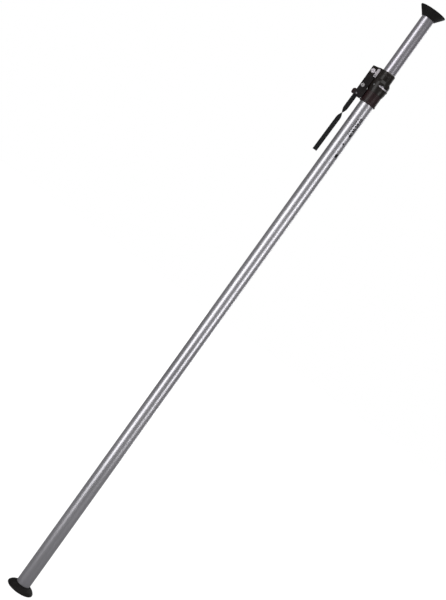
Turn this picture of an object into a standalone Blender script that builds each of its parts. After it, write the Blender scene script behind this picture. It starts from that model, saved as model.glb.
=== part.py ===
"""A telescopic pole that jams between floor and ceiling, with a lever lock near its top.

Metres, +Z up. The pole stands on z = 0 with its axis on the Z axis, shown collapsed and locked.
The lever lock's mechanism is on the -X side, and the heads of its pins face -Y.
"""

import math

import bmesh
import bpy
from mathutils import Matrix, Vector

# Clearances
SEAT = 0.0003  # between pieces that touch
RUN = 0.0003  # around pieces that slide or turn
HOLE = 0.0003  # around pins and screws

# Tubes
OUTER_LENGTH = 1.796
OUTER_RADIUS = 0.0225
OUTER_WALL = 0.00125
BUSH_SPACE = 0.00125  # between the two tubes
INNER_WALL = 0.0015
INNER_SHOWING = 0.1955  # from the lock's top to the cup's collar, collapsed
LEFT_INSIDE = 0.196  # of the outer tube's length, kept between its bushes at full reach
TRAVEL = OUTER_LENGTH - LEFT_INSIDE

# Rubber foot and cup
FOOT_RADIUS = 0.0430
FOOT_HEIGHT = 0.0180
FOOT_WEB = 0.0074
FOOT_COLLAR = 0.0027
CUP_RADIUS = 0.0415
CUP_DEPTH = 0.0265
CUP_WEB = 0.0061
CUP_COLLAR = 0.0026
CUP_SOCKET = 0.0045  # how far the inner tube stands in the cup
RIM_WIDTH = 0.0035
STUD_RADIUS = 0.0040
STUD_HEAD_RADIUS = 0.0090
STUD_HEAD = 0.0018
STUD_LENGTH = 0.0300
PLUG_FLANGE = 0.0020
PLUG_LENGTH = 0.0350

# Bushes and stop
BUSH_LENGTH = 0.0360
BUSH_FLANGE = 0.0015
LOWER_BUSH_LENGTH = 0.0250
STOP_HEIGHT = 0.0100
STOP_PIN_RADIUS = 0.0014

# Lock collar, fixed on the outer tube
COLLAR_WALL = 0.0024
COLLAR_BELOW = 0.0380  # below the outer tube's top end
COLLAR_ABOVE = 0.0080
COLLAR_FLANGE = 0.0015
COLLAR_FLANGE_HEIGHT = 0.0050
POST_MARGIN = 0.0033  # from the ears' inner faces to the post
CAM_PAD = 0.0015

# Brake carriage, on the inner tube
SKIRT_WALL = 0.0029
SKIRT_HEIGHT = 0.0355
SKIRT_TAPER = 0.0110
NECK_WALL = 0.0025
SHOULDER_HEIGHT = 0.0090
CARRIAGE_HEIGHT = 0.0720
BORE_GAP = 0.0006  # between the carriage's bore and the inner tube
CEILING_DROP = 0.0010  # the cavity's roof under the shoulder's foot
WIPER_HEIGHT = 0.0080
WIPER_WALL = 0.0014

# Lever and its cam
LIFT = 0.0080  # how far the closing lever raises the carriage
LEVER_OPEN = math.radians(120)
CAM_HEIGHT = 0.0180  # from the pivot to the pad, lever closed
PIVOT_OUT = 0.0143  # from the skirt's face to the pivot
PIVOT_UP = 0.0510  # above the outer tube's top end
LEVER_HALF_WIDTH = 0.0140
CHEEK = 0.0037
WEB = 0.0024
LEVER_OUT = 0.0083  # from the pivot to the lever's outer face
CHEEK_SKIRT_GAP = 0.0005  # from the skirt to the cheeks' inner edges
CHEEK_COLLAR_GAP = 0.0015  # from the collar to the cheeks' inner edges
CHEEK_TOP = 0.0155  # below the pivot
LEVER_REACH = 0.0870  # below the pivot
WINDOW_REACH = 0.0670  # the web ends here, below the pivot
EAR_ARC = 0.0145
PIN_RADIUS = 0.0040
PIN_HEAD_RADIUS = 0.0070
PIN_HEAD = 0.0027
NUT_RADIUS = 0.0065
NUT_HEIGHT = 0.0042

# Safety catch
CATCH_DOWN = 0.0510  # its pin below the lever's pivot
CATCH_HUB = 0.0052
CATCH_MARGIN = 0.0005  # from the cheeks' inner faces to the catch
CATCH_PIN_RADIUS = 0.0022
CATCH_HEAD_RADIUS = 0.0060
CATCH_HEAD = 0.0017
THUMB_OUT = 0.0173  # from the catch's pin to the thumb face
NOSE_OUT = 0.0087
CATCH_SIDE_ROOM = 0.0061  # from the catch's nose to the cheek, where its spring sits
CATCH_COIL_WIRE = 0.00045
CATCH_COIL_RADIUS = 0.0036

# Brake plate
BRAKE_TILT = math.radians(3)
BRAKE_ANGLE = math.radians(27)  # of its tab, from -Y towards +X
BRAKE_THICKNESS = 0.0035
BRAKE_PIVOT_UP = 0.0265  # above the outer tube's top end
BRAKE_BORE_GAP = 0.0005
TAB_HALF_ANGLE = math.radians(31)
TAB_PROUD = 0.0012
RETAINER_HEIGHT = 0.0040
SPRING_WIRE = 0.0007
SPRING_TURNS = 2
SPRING_PITCH = 0.0020

# Small screws
SCREW_RADIUS = 0.0015
SCREW_HEAD_RADIUS = 0.00275
SCREW_HEAD = 0.0012

# Strap
STRAP_WIDTH = 0.0140
STRAP_THICKNESS = 0.0016
STRAP_LENGTH = 0.2050
STRAP_LEAN = 0.0035  # how far its lower end hangs outwards
STRAP_TWIST_START = 0.0420  # below its pin
STRAP_TWIST_END = 0.0980
STRAP_PIN_IN = -0.0013  # from the lever's pivot line, outwards
STRAP_PIN_DOWN = 0.0805
STRAP_PIN_RADIUS = 0.0012

# Places that follow from the sizes
BORE_RADIUS = OUTER_RADIUS - OUTER_WALL
INNER_RADIUS = BORE_RADIUS - BUSH_SPACE
TUBE_BASE = FOOT_WEB + SEAT + PLUG_FLANGE + SEAT
TUBE_TOP = TUBE_BASE + OUTER_LENGTH
COLLAR_RADIUS = OUTER_RADIUS + SEAT + COLLAR_WALL
SKIRT_BORE = COLLAR_RADIUS + RUN
SKIRT_RADIUS = SKIRT_BORE + SKIRT_WALL
SKIRT_BASE = TUBE_TOP
SKIRT_TOP = SKIRT_BASE + SKIRT_HEIGHT
CAVITY_ROOF = SKIRT_TOP - CEILING_DROP
CARRIAGE_BORE = INNER_RADIUS + BORE_GAP
NECK_RADIUS = CARRIAGE_BORE + NECK_WALL
CARRIAGE_TOP = SKIRT_BASE + CARRIAGE_HEIGHT
CUP_COLLAR_BASE = CARRIAGE_TOP + INNER_SHOWING
CUP_RIM = CUP_COLLAR_BASE + CUP_DEPTH
INNER_TOP = CUP_COLLAR_BASE + CUP_SOCKET
PLUG_TOP = TUBE_BASE + PLUG_LENGTH
LOWER_BUSH_BASE = PLUG_TOP + SEAT
INNER_BASE = LOWER_BUSH_BASE + PLUG_FLANGE + SEAT
BUSH_BASE = TUBE_TOP - BUSH_LENGTH
STOP_TOP = BUSH_BASE - TRAVEL - SEAT
COLLAR_BASE = TUBE_TOP - COLLAR_BELOW
COLLAR_TOP = TUBE_TOP + COLLAR_ABOVE
PIVOT = Vector((-SKIRT_RADIUS - PIVOT_OUT, 0.0, TUBE_TOP + PIVOT_UP))
PAD_TOP = PIVOT.z - CAM_HEIGHT - SEAT
CATCH_PIVOT = PIVOT - Vector((0.0, 0.0, CATCH_DOWN))
STRAP_PIN = PIVOT + Vector((STRAP_PIN_IN, 0.0, -STRAP_PIN_DOWN))
BRAKE_DIRECTION = Vector((math.sin(BRAKE_ANGLE), -math.cos(BRAKE_ANGLE), 0.0))
BRAKE_AXIS = Vector((math.cos(BRAKE_ANGLE), math.sin(BRAKE_ANGLE), 0.0))
BRAKE_PIVOT_RADIUS = INNER_RADIUS + 0.0020
BRAKE_PIVOT = -BRAKE_PIVOT_RADIUS * BRAKE_DIRECTION + Vector((0, 0, TUBE_TOP + BRAKE_PIVOT_UP))
RETAINER_TOP = BRAKE_PIVOT.z - 0.0050
RETAINER_BASE = RETAINER_TOP - RETAINER_HEIGHT
EAR_INNER = LEVER_HALF_WIDTH - CHEEK
CHEEK_AT_SKIRT = -math.sqrt(SKIRT_RADIUS**2 - EAR_INNER**2) - CHEEK_SKIRT_GAP
CHEEK_AT_COLLAR = -math.sqrt(COLLAR_RADIUS**2 - EAR_INNER**2) - CHEEK_COLLAR_GAP
ROOT_HALF_WIDTH = EAR_INNER - 0.0004
NOSE_HALF_WIDTH = EAR_INNER - CATCH_SIDE_ROOM
POST_HALF_WIDTH = EAR_INNER - POST_MARGIN
CATCH_HALF_WIDTH = EAR_INNER - CATCH_MARGIN

ROUND = 56  # sides of the large turned pieces
SMALL_ROUND = 20

# What each joint carries
INNER_PIECES = (
    "inner_tube",
    "ceiling_cup",
    "cup_stud",
    "cup_plug",
    "guide_bush_lower",
    "stop_ring",
    "stop_pin",
)
CARRIAGE_PIECES = (
    "brake_carriage",
    "neck_wiper",
    "brake_spring",
    "brake_retainer",
    "retainer_screw_1",
    "retainer_screw_2",
    "retainer_screw_3",
    "lever_pin",
    "lever_pin_nut",
    "pin_lock_plate",
    "lock_plate_screw",
)
LEVER_PIECES = ("lever", "catch_pin", "catch_pin_clip", "catch_spring", "strap_rivet")


def clear_scene():
    for obj in list(bpy.data.objects):
        bpy.data.objects.remove(obj, do_unlink=True)


def material(name, color, roughness, metallic=0.0):
    made = bpy.data.materials.get(name)
    if made is None:
        made = bpy.data.materials.new(name)
        made.use_nodes = True
        shader = made.node_tree.nodes["Principled BSDF"]
        shader.inputs["Base Color"].default_value = (*color, 1.0)
        shader.inputs["Roughness"].default_value = roughness
        shader.inputs["Metallic"].default_value = metallic
    return made


def tube_metal():
    return material("satin_aluminium", (0.62, 0.63, 0.65), 0.32, 1.0)


def casting_black():
    return material("casting_black", (0.018, 0.017, 0.018), 0.35)


def lever_black():
    return material("lever_black", (0.014, 0.014, 0.015), 0.30)


def rubber():
    return material("rubber", (0.016, 0.015, 0.015), 0.70)


def nylon():
    return material("nylon", (0.55, 0.54, 0.50), 0.55)


def steel():
    return material("steel", (0.66, 0.65, 0.66), 0.28, 1.0)


def webbing():
    return material("webbing", (0.012, 0.012, 0.013), 0.80)


def add_object(name, bm, finish):
    """Turns a bmesh into a named object with its own material."""
    bmesh.ops.recalc_face_normals(bm, faces=bm.faces)
    mesh = bpy.data.meshes.new(name)
    bm.to_mesh(mesh)
    bm.free()
    mesh.shade_smooth()
    mesh.set_sharp_from_angle(angle=math.radians(35))
    obj = bpy.data.objects.new(name, mesh)
    obj.data.materials.append(finish)
    bpy.context.scene.collection.objects.link(obj)
    return obj


def turned(profile, steps=ROUND):
    """A solid turned about Z from (radius, height) corners. A profile that starts on the axis ends there."""
    bm = bmesh.new()
    corners = [bm.verts.new((radius, 0.0, height)) for radius, height in profile]
    on_axis = profile[0][0] == 0.0
    last = len(corners) - 1 if on_axis else len(corners)
    for i in range(last):
        bm.edges.new((corners[i], corners[(i + 1) % len(corners)]))
    bmesh.ops.spin(
        bm,
        geom=bm.verts[:] + bm.edges[:],
        cent=(0, 0, 0),
        axis=(0, 0, 1),
        angle=2 * math.pi,
        steps=steps,
        use_merge=True,
    )
    bmesh.ops.remove_doubles(bm, verts=bm.verts, dist=1e-6)
    return bm


def prism(outline, low, high, axis="Y"):
    """A solid between two planes: outline is in (x, z) for axis Y, and in (x, y) for axis Z."""
    bm = bmesh.new()
    if axis == "Y":
        base = [bm.verts.new((a, low, b)) for a, b in outline]
        along = Vector((0, high - low, 0))
    else:
        base = [bm.verts.new((a, b, low)) for a, b in outline]
        along = Vector((0, 0, high - low))
    top = [bm.verts.new(corner.co + along) for corner in base]
    bm.faces.new(base)
    bm.faces.new(top)
    for i in range(len(base)):
        j = (i + 1) % len(base)
        bm.faces.new((base[i], base[j], top[j], top[i]))
    return bm


def box(low, high):
    corners = [(low[0], low[2]), (high[0], low[2]), (high[0], high[2]), (low[0], high[2])]
    return prism(corners, low[1], high[1])


def rod(start, end, radius, steps=SMALL_ROUND):
    """A round bar from start to end."""
    start, end = Vector(start), Vector(end)
    bm = bmesh.new()
    turn = (end - start).to_track_quat("Z", "Y").to_matrix().to_4x4()
    bmesh.ops.create_cone(
        bm,
        cap_ends=True,
        segments=steps,
        radius1=radius,
        radius2=radius,
        depth=(end - start).length,
        matrix=Matrix.Translation((start + end) / 2) @ turn,
    )
    return bm


def arc(centre, radius, first, last, steps):
    """Points on an arc in a plane, angles in degrees from the first axis towards the second."""
    angles = [math.radians(first + (last - first) * i / steps) for i in range(steps + 1)]
    return [(centre[0] + radius * math.cos(a), centre[1] + radius * math.sin(a)) for a in angles]


def tool(name, bm):
    """A helper solid for a Boolean, left out of renders."""
    obj = add_object(name, bm, casting_black())
    obj.hide_render = True
    obj.display_type = "WIRE"
    return obj


def boolean(obj, name, bm, operation="DIFFERENCE"):
    modifier = obj.modifiers.new(name, "BOOLEAN")
    modifier.operation = operation
    modifier.solver = "EXACT"
    modifier.object = tool(f"{obj.name}_{name}", bm)
    modifier.object.parent = obj


def cut(obj, name, bm):
    boolean(obj, name, bm)


def join(obj, name, bm):
    boolean(obj, name, bm, "UNION")


def radial(angle, radius, height):
    """A point at an angle from -Y towards +X."""
    return Vector((radius * math.sin(angle), -radius * math.cos(angle), height))


def make_outer_tube():
    profile = [
        (OUTER_RADIUS, TUBE_TOP),
        (OUTER_RADIUS, TUBE_BASE),
        (BORE_RADIUS, TUBE_BASE),
        (BORE_RADIUS, TUBE_TOP),
    ]
    add_object("outer_tube", turned(profile), tube_metal())


def make_inner_tube():
    inside = INNER_RADIUS - INNER_WALL
    profile = [
        (INNER_RADIUS, INNER_TOP),
        (INNER_RADIUS, INNER_BASE),
        (inside, INNER_BASE),
        (inside, INNER_TOP),
    ]
    tube = add_object("inner_tube", turned(profile), tube_metal())
    cut(tube, "stop_hole", stop_pin_rod(STOP_PIN_RADIUS + HOLE, OUTER_RADIUS))


def stop_pin_rod(radius, reach):
    height = STOP_TOP - STOP_HEIGHT / 2
    return rod((0, -reach, height), (0, reach, height), radius)


def make_floor_foot():
    socket = OUTER_RADIUS + SEAT
    head_base = FOOT_WEB - STUD_HEAD - 0.0034
    profile = [
        (0.0, 0.0),
        (0.0120, 0.0),
        (0.0135, 0.0014),
        (FOOT_RADIUS - 0.0070, 0.0014),
        (FOOT_RADIUS - 0.0055, 0.0),
        (FOOT_RADIUS - 0.0006, 0.0),
        (FOOT_RADIUS, 0.0006),
        (FOOT_RADIUS, 0.0030),
        (FOOT_RADIUS - 0.0030, FOOT_HEIGHT * 0.38),
        (FOOT_RADIUS - 0.0090, FOOT_HEIGHT * 0.62),
        (socket + FOOT_COLLAR + 0.0012, FOOT_HEIGHT - 0.0018),
        (socket + FOOT_COLLAR, FOOT_HEIGHT),
        (socket, FOOT_HEIGHT),
        (socket, FOOT_WEB),
        (STUD_RADIUS + HOLE, FOOT_WEB),
        (STUD_RADIUS + HOLE, head_base + STUD_HEAD + 2 * SEAT),
        (STUD_HEAD_RADIUS + SEAT, head_base + STUD_HEAD + 2 * SEAT),
        (STUD_HEAD_RADIUS + SEAT, head_base),
        (0.0, head_base),
    ]
    add_object("floor_foot", turned(profile), rubber())


def stud_profile(head_base, direction):
    """A moulded-in stud: a disc head and a shank that runs up or down from it."""
    neck = head_base + direction * STUD_HEAD
    end = head_base + direction * STUD_LENGTH
    return [
        (0.0, head_base),
        (STUD_HEAD_RADIUS, head_base),
        (STUD_HEAD_RADIUS, neck),
        (STUD_RADIUS, neck),
        (STUD_RADIUS, end),
        (0.0, end),
    ]


def plug_profile(face, direction, flange_radius, body_radius):
    """A tube's end plug: a flange over the tube's end, a body inside it and a blind hole for the stud."""
    shoulder = face + direction * PLUG_FLANGE
    end = face + direction * (PLUG_FLANGE + SEAT + PLUG_LENGTH)
    hole_end = end - direction * 0.0040
    return [
        (0.0, hole_end),
        (STUD_RADIUS + HOLE, hole_end),
        (STUD_RADIUS + HOLE, face),
        (flange_radius, face),
        (flange_radius, shoulder),
        (body_radius, shoulder),
        (body_radius, end),
        (0.0, end),
    ]


def make_foot_fittings():
    head_base = FOOT_WEB - STUD_HEAD - 0.0034 + SEAT
    add_object("foot_stud", turned(stud_profile(head_base, 1), SMALL_ROUND), steel())
    plug = plug_profile(FOOT_WEB + SEAT, 1, OUTER_RADIUS - SEAT, BORE_RADIUS - SEAT)
    add_object("foot_plug", turned(plug), nylon())


def make_ceiling_cup():
    socket = INNER_RADIUS + SEAT
    web_base = INNER_TOP + SEAT + PLUG_FLANGE + SEAT
    pad = web_base + CUP_WEB
    head_base = web_base + 0.0024
    profile = [
        (0.0, pad),
        (CUP_RADIUS - RIM_WIDTH - 0.0110, pad),
        (CUP_RADIUS - RIM_WIDTH, CUP_RIM),
        (CUP_RADIUS, CUP_RIM),
        (CUP_RADIUS, CUP_RIM - 0.0025),
        (socket + CUP_COLLAR + 0.0016, CUP_COLLAR_BASE + 0.0030),
        (socket + CUP_COLLAR, CUP_COLLAR_BASE),
        (socket, CUP_COLLAR_BASE),
        (socket, web_base),
        (STUD_RADIUS + HOLE, web_base),
        (STUD_RADIUS + HOLE, head_base),
        (STUD_HEAD_RADIUS + SEAT, head_base),
        (STUD_HEAD_RADIUS + SEAT, head_base + STUD_HEAD + 2 * SEAT),
        (0.0, head_base + STUD_HEAD + 2 * SEAT),
    ]
    add_object("ceiling_cup", turned(profile), rubber())
    stud_top = head_base + STUD_HEAD + SEAT
    add_object("cup_stud", turned(stud_profile(stud_top, -1), SMALL_ROUND), steel())
    body_radius = INNER_RADIUS - INNER_WALL - SEAT
    plug = plug_profile(web_base - SEAT, -1, INNER_RADIUS - SEAT, body_radius)
    add_object("cup_plug", turned(plug), nylon())


def make_bushes():
    """The upper bush is fixed in the outer tube. The lower bush and the stop ring ride on the inner tube."""
    inner, outer = INNER_RADIUS + RUN, BORE_RADIUS - RUN
    flange_base = TUBE_TOP + SEAT
    upper = [
        (OUTER_RADIUS - 2 * SEAT, flange_base + BUSH_FLANGE),
        (OUTER_RADIUS - 2 * SEAT, flange_base),
        (outer, flange_base),
        (outer, BUSH_BASE),
        (inner, BUSH_BASE),
        (inner, flange_base + BUSH_FLANGE),
    ]
    add_object("guide_bush_upper", turned(upper), nylon())
    spigot = INNER_RADIUS - INNER_WALL - SEAT
    floor = LOWER_BUSH_BASE + PLUG_FLANGE
    lower = [
        (0.0, floor),
        (spigot - 0.0025, floor),
        (spigot - 0.0025, floor + 0.0140),
        (spigot, floor + 0.0140),
        (spigot, floor),
        (inner, floor),
        (inner, floor + LOWER_BUSH_LENGTH),
        (outer, floor + LOWER_BUSH_LENGTH),
        (outer, LOWER_BUSH_BASE),
        (0.0, LOWER_BUSH_BASE),
    ]
    add_object("guide_bush_lower", turned(lower), nylon())
    stop = [
        (outer, STOP_TOP),
        (outer, STOP_TOP - STOP_HEIGHT),
        (inner, STOP_TOP - STOP_HEIGHT),
        (inner, STOP_TOP),
    ]
    ring = add_object("stop_ring", turned(stop), nylon())
    cut(ring, "pin_hole", stop_pin_rod(STOP_PIN_RADIUS + HOLE, OUTER_RADIUS))
    add_object("stop_pin", stop_pin_rod(STOP_PIN_RADIUS, outer - SEAT), steel())


def post_outline():
    """The post that carries the cam's pad, with its foot in the collar's wall."""
    root = -(OUTER_RADIUS + SEAT + COLLAR_WALL / 2)
    clear = -SKIRT_RADIUS - 0.0008  # past the skirt's face
    under_skirt = SKIRT_BASE - LIFT - 0.0008
    inner_face = CATCH_PIVOT.x + CATCH_HUB + 0.0009
    overhang = PIVOT.x - 0.0053
    top = PAD_TOP - CAM_PAD - SEAT
    return [
        (root, under_skirt - 0.0127),
        (root - 0.0060, under_skirt - 0.0127),
        (root - 0.0090, under_skirt - 0.0090),
        (root - 0.0090, under_skirt - 0.0052),
        (inner_face, under_skirt - 0.0007),
        (inner_face, CATCH_PIVOT.z + CATCH_HUB + 0.0083),
        (overhang, top - 0.0080),
        (overhang, top),
        (clear - 0.0018, top),
        (clear, top - 0.0040),
        (clear, under_skirt + 0.0003),
        (root, under_skirt),
    ]


def make_lock_collar():
    flange_top = COLLAR_BASE + COLLAR_FLANGE_HEIGHT
    body = [
        (0.0, COLLAR_TOP),
        (COLLAR_RADIUS - 0.0008, COLLAR_TOP),
        (COLLAR_RADIUS, COLLAR_TOP - 0.0008),
        (COLLAR_RADIUS, flange_top),
        (COLLAR_RADIUS + COLLAR_FLANGE, flange_top - 0.0008),
        (COLLAR_RADIUS + COLLAR_FLANGE, COLLAR_BASE),
        (0.0, COLLAR_BASE),
    ]
    collar = add_object("lock_collar", turned(body), casting_black())
    join(collar, "post", prism(post_outline(), -POST_HALF_WIDTH, POST_HALF_WIDTH))
    tube_seat = TUBE_TOP + SEAT + BUSH_FLANGE + SEAT
    bore = [
        (0.0, COLLAR_BASE - 0.01),
        (OUTER_RADIUS + SEAT, COLLAR_BASE - 0.01),
        (OUTER_RADIUS + SEAT, tube_seat),
        (CARRIAGE_BORE, tube_seat),
        (CARRIAGE_BORE, COLLAR_TOP + 0.01),
        (0.0, COLLAR_TOP + 0.01),
    ]
    cut(collar, "bore", turned(bore))
    nose = NOSE_HALF_WIDTH + 0.0004
    pocket_end = CATCH_PIVOT.x + NOSE_OUT + 0.0008
    low = (CATCH_PIVOT.x + CATCH_HUB, -nose, CATCH_PIVOT.z - 0.0045)
    cut(collar, "nose_pocket", box(low, (pocket_end, nose, CATCH_PIVOT.z + 0.0060)))
    for number, angle in enumerate((150, 210), start=1):
        make_radial_screw(collar, f"collar_screw_{number}", math.radians(angle), COLLAR_BASE + 0.0150,
                          COLLAR_RADIUS, OUTER_RADIUS + 1.5 * SEAT)
    pad_high = (PIVOT.x + 0.0107, POST_HALF_WIDTH + 0.0010, PAD_TOP)
    pad_low = (PIVOT.x - 0.0053, -POST_HALF_WIDTH - 0.0010, PAD_TOP - CAM_PAD)
    add_object("cam_pad", box(pad_low, pad_high), steel())


def make_radial_screw(carrier, name, angle, height, face, tip):
    """A pan-head screw that points at the pole's axis, and its hole in the piece that carries it."""
    seat = face + SEAT
    shank = rod(radial(angle, tip, height), radial(angle, seat + 0.0004, height), SCREW_RADIUS, 12)
    screw = add_object(name, shank, steel())
    head = rod(radial(angle, seat, height), radial(angle, seat + SCREW_HEAD, height), SCREW_HEAD_RADIUS, 16)
    join(screw, "head", head)
    cut(carrier, name, rod(radial(angle, tip - 0.0015, height), radial(angle, face + 0.004, height),
                           SCREW_RADIUS + HOLE, 12))


def ear_outline():
    """A carriage ear: from the neck out to the lever's pin."""
    x, z = PIVOT.x, PIVOT.z
    outer = x - LEVER_OUT
    reach = math.degrees(math.asin(LEVER_OUT / EAR_ARC))
    lower = arc((x, z), EAR_ARC, -90, -90 - reach, 5)
    return [
        (-NECK_RADIUS + 0.010, z - EAR_ARC),
        *lower,
        (outer, z + 0.0120),
        (outer + 0.0015, z + 0.0142),
        (-NECK_RADIUS - 0.0130, CARRIAGE_TOP - 0.0042),
        (-NECK_RADIUS - 0.0040, CARRIAGE_TOP - 0.0012),
        (-NECK_RADIUS + 0.010, CARRIAGE_TOP - 0.0008),
    ]


def sector(inner, outer, first, last, low, high, steps=12):
    """A slab between two radii and two angles from -Y towards +X."""
    angles = [first + (last - first) * i / steps for i in range(steps + 1)]
    outline = [radial(a, outer, 0).xy for a in angles] + [radial(a, inner, 0).xy for a in reversed(angles)]
    return prism([tuple(point) for point in outline], low, high, "Z")


def make_carriage():
    shoulder = SKIRT_TOP + SHOULDER_HEIGHT
    body = [
        (0.0, CARRIAGE_TOP),
        (NECK_RADIUS - 0.0008, CARRIAGE_TOP),
        (NECK_RADIUS, CARRIAGE_TOP - 0.0008),
        (NECK_RADIUS, shoulder),
        (SKIRT_RADIUS, SKIRT_TOP),
        (SKIRT_RADIUS, SKIRT_BASE + SKIRT_TAPER),
        (SKIRT_RADIUS - 0.0020, SKIRT_BASE),
        (0.0, SKIRT_BASE),
    ]
    carriage = add_object("brake_carriage", turned(body), casting_black())
    for side, low, high in (("near", -LEVER_HALF_WIDTH, -EAR_INNER), ("far", EAR_INNER, LEVER_HALF_WIDTH)):
        join(carriage, f"ear_{side}", prism(ear_outline(), low, high))
    inside = [
        (0.0, SKIRT_BASE - 0.01),
        (SKIRT_BORE, SKIRT_BASE - 0.01),
        (SKIRT_BORE, CAVITY_ROOF),
        (CARRIAGE_BORE, CAVITY_ROOF),
        (CARRIAGE_BORE, CARRIAGE_TOP - WIPER_HEIGHT),
        (INNER_RADIUS + RUN + WIPER_WALL + SEAT, CARRIAGE_TOP - WIPER_HEIGHT),
        (INNER_RADIUS + RUN + WIPER_WALL + SEAT, CARRIAGE_TOP + 0.01),
        (0.0, CARRIAGE_TOP + 0.01),
    ]
    cut(carriage, "inside", turned(inside))
    slot_margin = math.radians(2)
    tab_rise = (BRAKE_PIVOT_RADIUS + SKIRT_RADIUS) * math.sin(BRAKE_TILT)
    slot = sector(
        SKIRT_BORE - 0.004,
        SKIRT_RADIUS + 0.004,
        BRAKE_ANGLE - TAB_HALF_ANGLE - slot_margin,
        BRAKE_ANGLE + TAB_HALF_ANGLE + slot_margin,
        BRAKE_PIVOT.z - tab_rise - BRAKE_THICKNESS / 2 - 0.0007,
        BRAKE_PIVOT.z + BRAKE_THICKNESS / 2 + 0.0005,
        16,
    )
    cut(carriage, "tab_slot", slot)
    cut(carriage, "pin_hole", across(PIVOT, PIN_RADIUS + HOLE, -0.02, 0.02))
    return carriage


def across(point, radius, low, high, steps=SMALL_ROUND):
    """A round bar along Y through a point."""
    return rod((point.x, low, point.z), (point.x, high, point.z), radius, steps)


def make_neck_wiper():
    inner = INNER_RADIUS + RUN
    base = CARRIAGE_TOP - WIPER_HEIGHT + SEAT
    profile = [
        (inner + WIPER_WALL, CARRIAGE_TOP + 0.0006),
        (inner + WIPER_WALL, base),
        (inner, base),
        (inner, CARRIAGE_TOP + 0.0006),
    ]
    add_object("neck_wiper", turned(profile), nylon())


def make_retainer(carriage):
    """The ring under the brake plate, with the ridge that the plate rocks on."""
    outer = SKIRT_BORE - SEAT
    profile = [
        (outer, RETAINER_TOP),
        (outer, RETAINER_BASE),
        (CARRIAGE_BORE + 0.0003, RETAINER_BASE),
        (CARRIAGE_BORE + 0.0003, RETAINER_TOP),
    ]
    ring = add_object("brake_retainer", turned(profile), casting_black())
    ridge_angle = BRAKE_ANGLE + math.pi
    ridge = sector(
        CARRIAGE_BORE + 0.0006,
        outer - 0.0003,
        ridge_angle - math.radians(13),
        ridge_angle + math.radians(13),
        RETAINER_TOP - 0.0010,
        BRAKE_PIVOT.z - BRAKE_THICKNESS / 2 - SEAT,
        4,
    )
    join(ring, "ridge", ridge)
    height = RETAINER_BASE + RETAINER_HEIGHT / 2
    for number, angle in enumerate((-37, 83, 203), start=1):
        angle = math.radians(angle)
        name = f"retainer_screw_{number}"
        make_radial_screw(carriage, name, angle, height, SKIRT_RADIUS, outer - 0.0020)
        cut(ring, name, rod(radial(angle, outer - 0.0024, height), radial(angle, outer + 0.004, height),
                            SCREW_RADIUS + HOLE, 12))


def make_brake_plate():
    """A steel plate that jams on the inner tube when it tilts, with its tab in the carriage's slot."""
    outer = SKIRT_BORE - 2 * RUN
    low, high = -BRAKE_THICKNESS / 2, BRAKE_THICKNESS / 2
    rim = [tuple(radial(2 * math.pi * i / ROUND, outer, 0).xy) for i in range(ROUND)]
    plate = add_object("brake_plate", prism(rim, low, high, "Z"), steel())
    tab = sector(INNER_RADIUS, SKIRT_RADIUS + TAB_PROUD, BRAKE_ANGLE - TAB_HALF_ANGLE,
                 BRAKE_ANGLE + TAB_HALF_ANGLE, low, high)
    join(plate, "tab", tab)
    cut(plate, "bore", rod((0, 0, low - 0.01), (0, 0, high + 0.01), INNER_RADIUS + BRAKE_BORE_GAP, ROUND))
    place_tilted(plate)


def place_tilted(plate):
    """Puts the plate at the brake's height, tilted about the line it rocks on."""
    offset = Matrix.Translation(BRAKE_PIVOT)
    tilt = Matrix.Rotation(BRAKE_TILT, 4, BRAKE_AXIS)
    centre = Matrix.Translation(-Vector((BRAKE_PIVOT.x, BRAKE_PIVOT.y, 0)))
    plate.matrix_world = offset @ tilt @ centre


def helix(name, radius, pitch, turns, wire, start, points_per_turn, resolution, finish):
    """A coil of round wire about Z, as one open curve."""
    data = bpy.data.curves.new(name, "CURVE")
    data.dimensions = "3D"
    data.bevel_depth = wire
    data.bevel_resolution = resolution
    data.use_fill_caps = True
    spline = data.splines.new("POLY")
    count = turns * points_per_turn + 1
    spline.points.add(count - 1)
    for i in range(count):
        angle = 2 * math.pi * i / points_per_turn
        height = pitch * i / points_per_turn
        spline.points[i].co = (radius * math.cos(angle), radius * math.sin(angle), height, 1.0)
    obj = bpy.data.objects.new(name, data)
    obj.data.materials.append(finish)
    bpy.context.scene.collection.objects.link(obj)
    obj.location = start
    return obj


def make_brake_spring():
    radius = (CARRIAGE_BORE + SKIRT_BORE) / 2
    base = BRAKE_PIVOT.z + BRAKE_THICKNESS / 2 + SEAT + SPRING_WIRE
    helix("brake_spring", radius, SPRING_PITCH, SPRING_TURNS, SPRING_WIRE, (0, 0, base), 24, 1, steel())


def make_lever_pin():
    near = -LEVER_HALF_WIDTH - SEAT
    pin_end = LEVER_HALF_WIDTH + NUT_HEIGHT + 0.0012
    pin = add_object("lever_pin", across(PIVOT, PIN_RADIUS, near - 0.001, pin_end), steel())
    join(pin, "head", across(PIVOT, PIN_HEAD_RADIUS, near - PIN_HEAD, near, 28))
    far = LEVER_HALF_WIDTH + SEAT
    nut = add_object("lever_pin_nut", across(PIVOT, NUT_RADIUS, far, far + NUT_HEIGHT, 6), steel())
    cut(nut, "thread", across(PIVOT, PIN_RADIUS + HOLE, far - 0.002, far + NUT_HEIGHT + 0.002))


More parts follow.
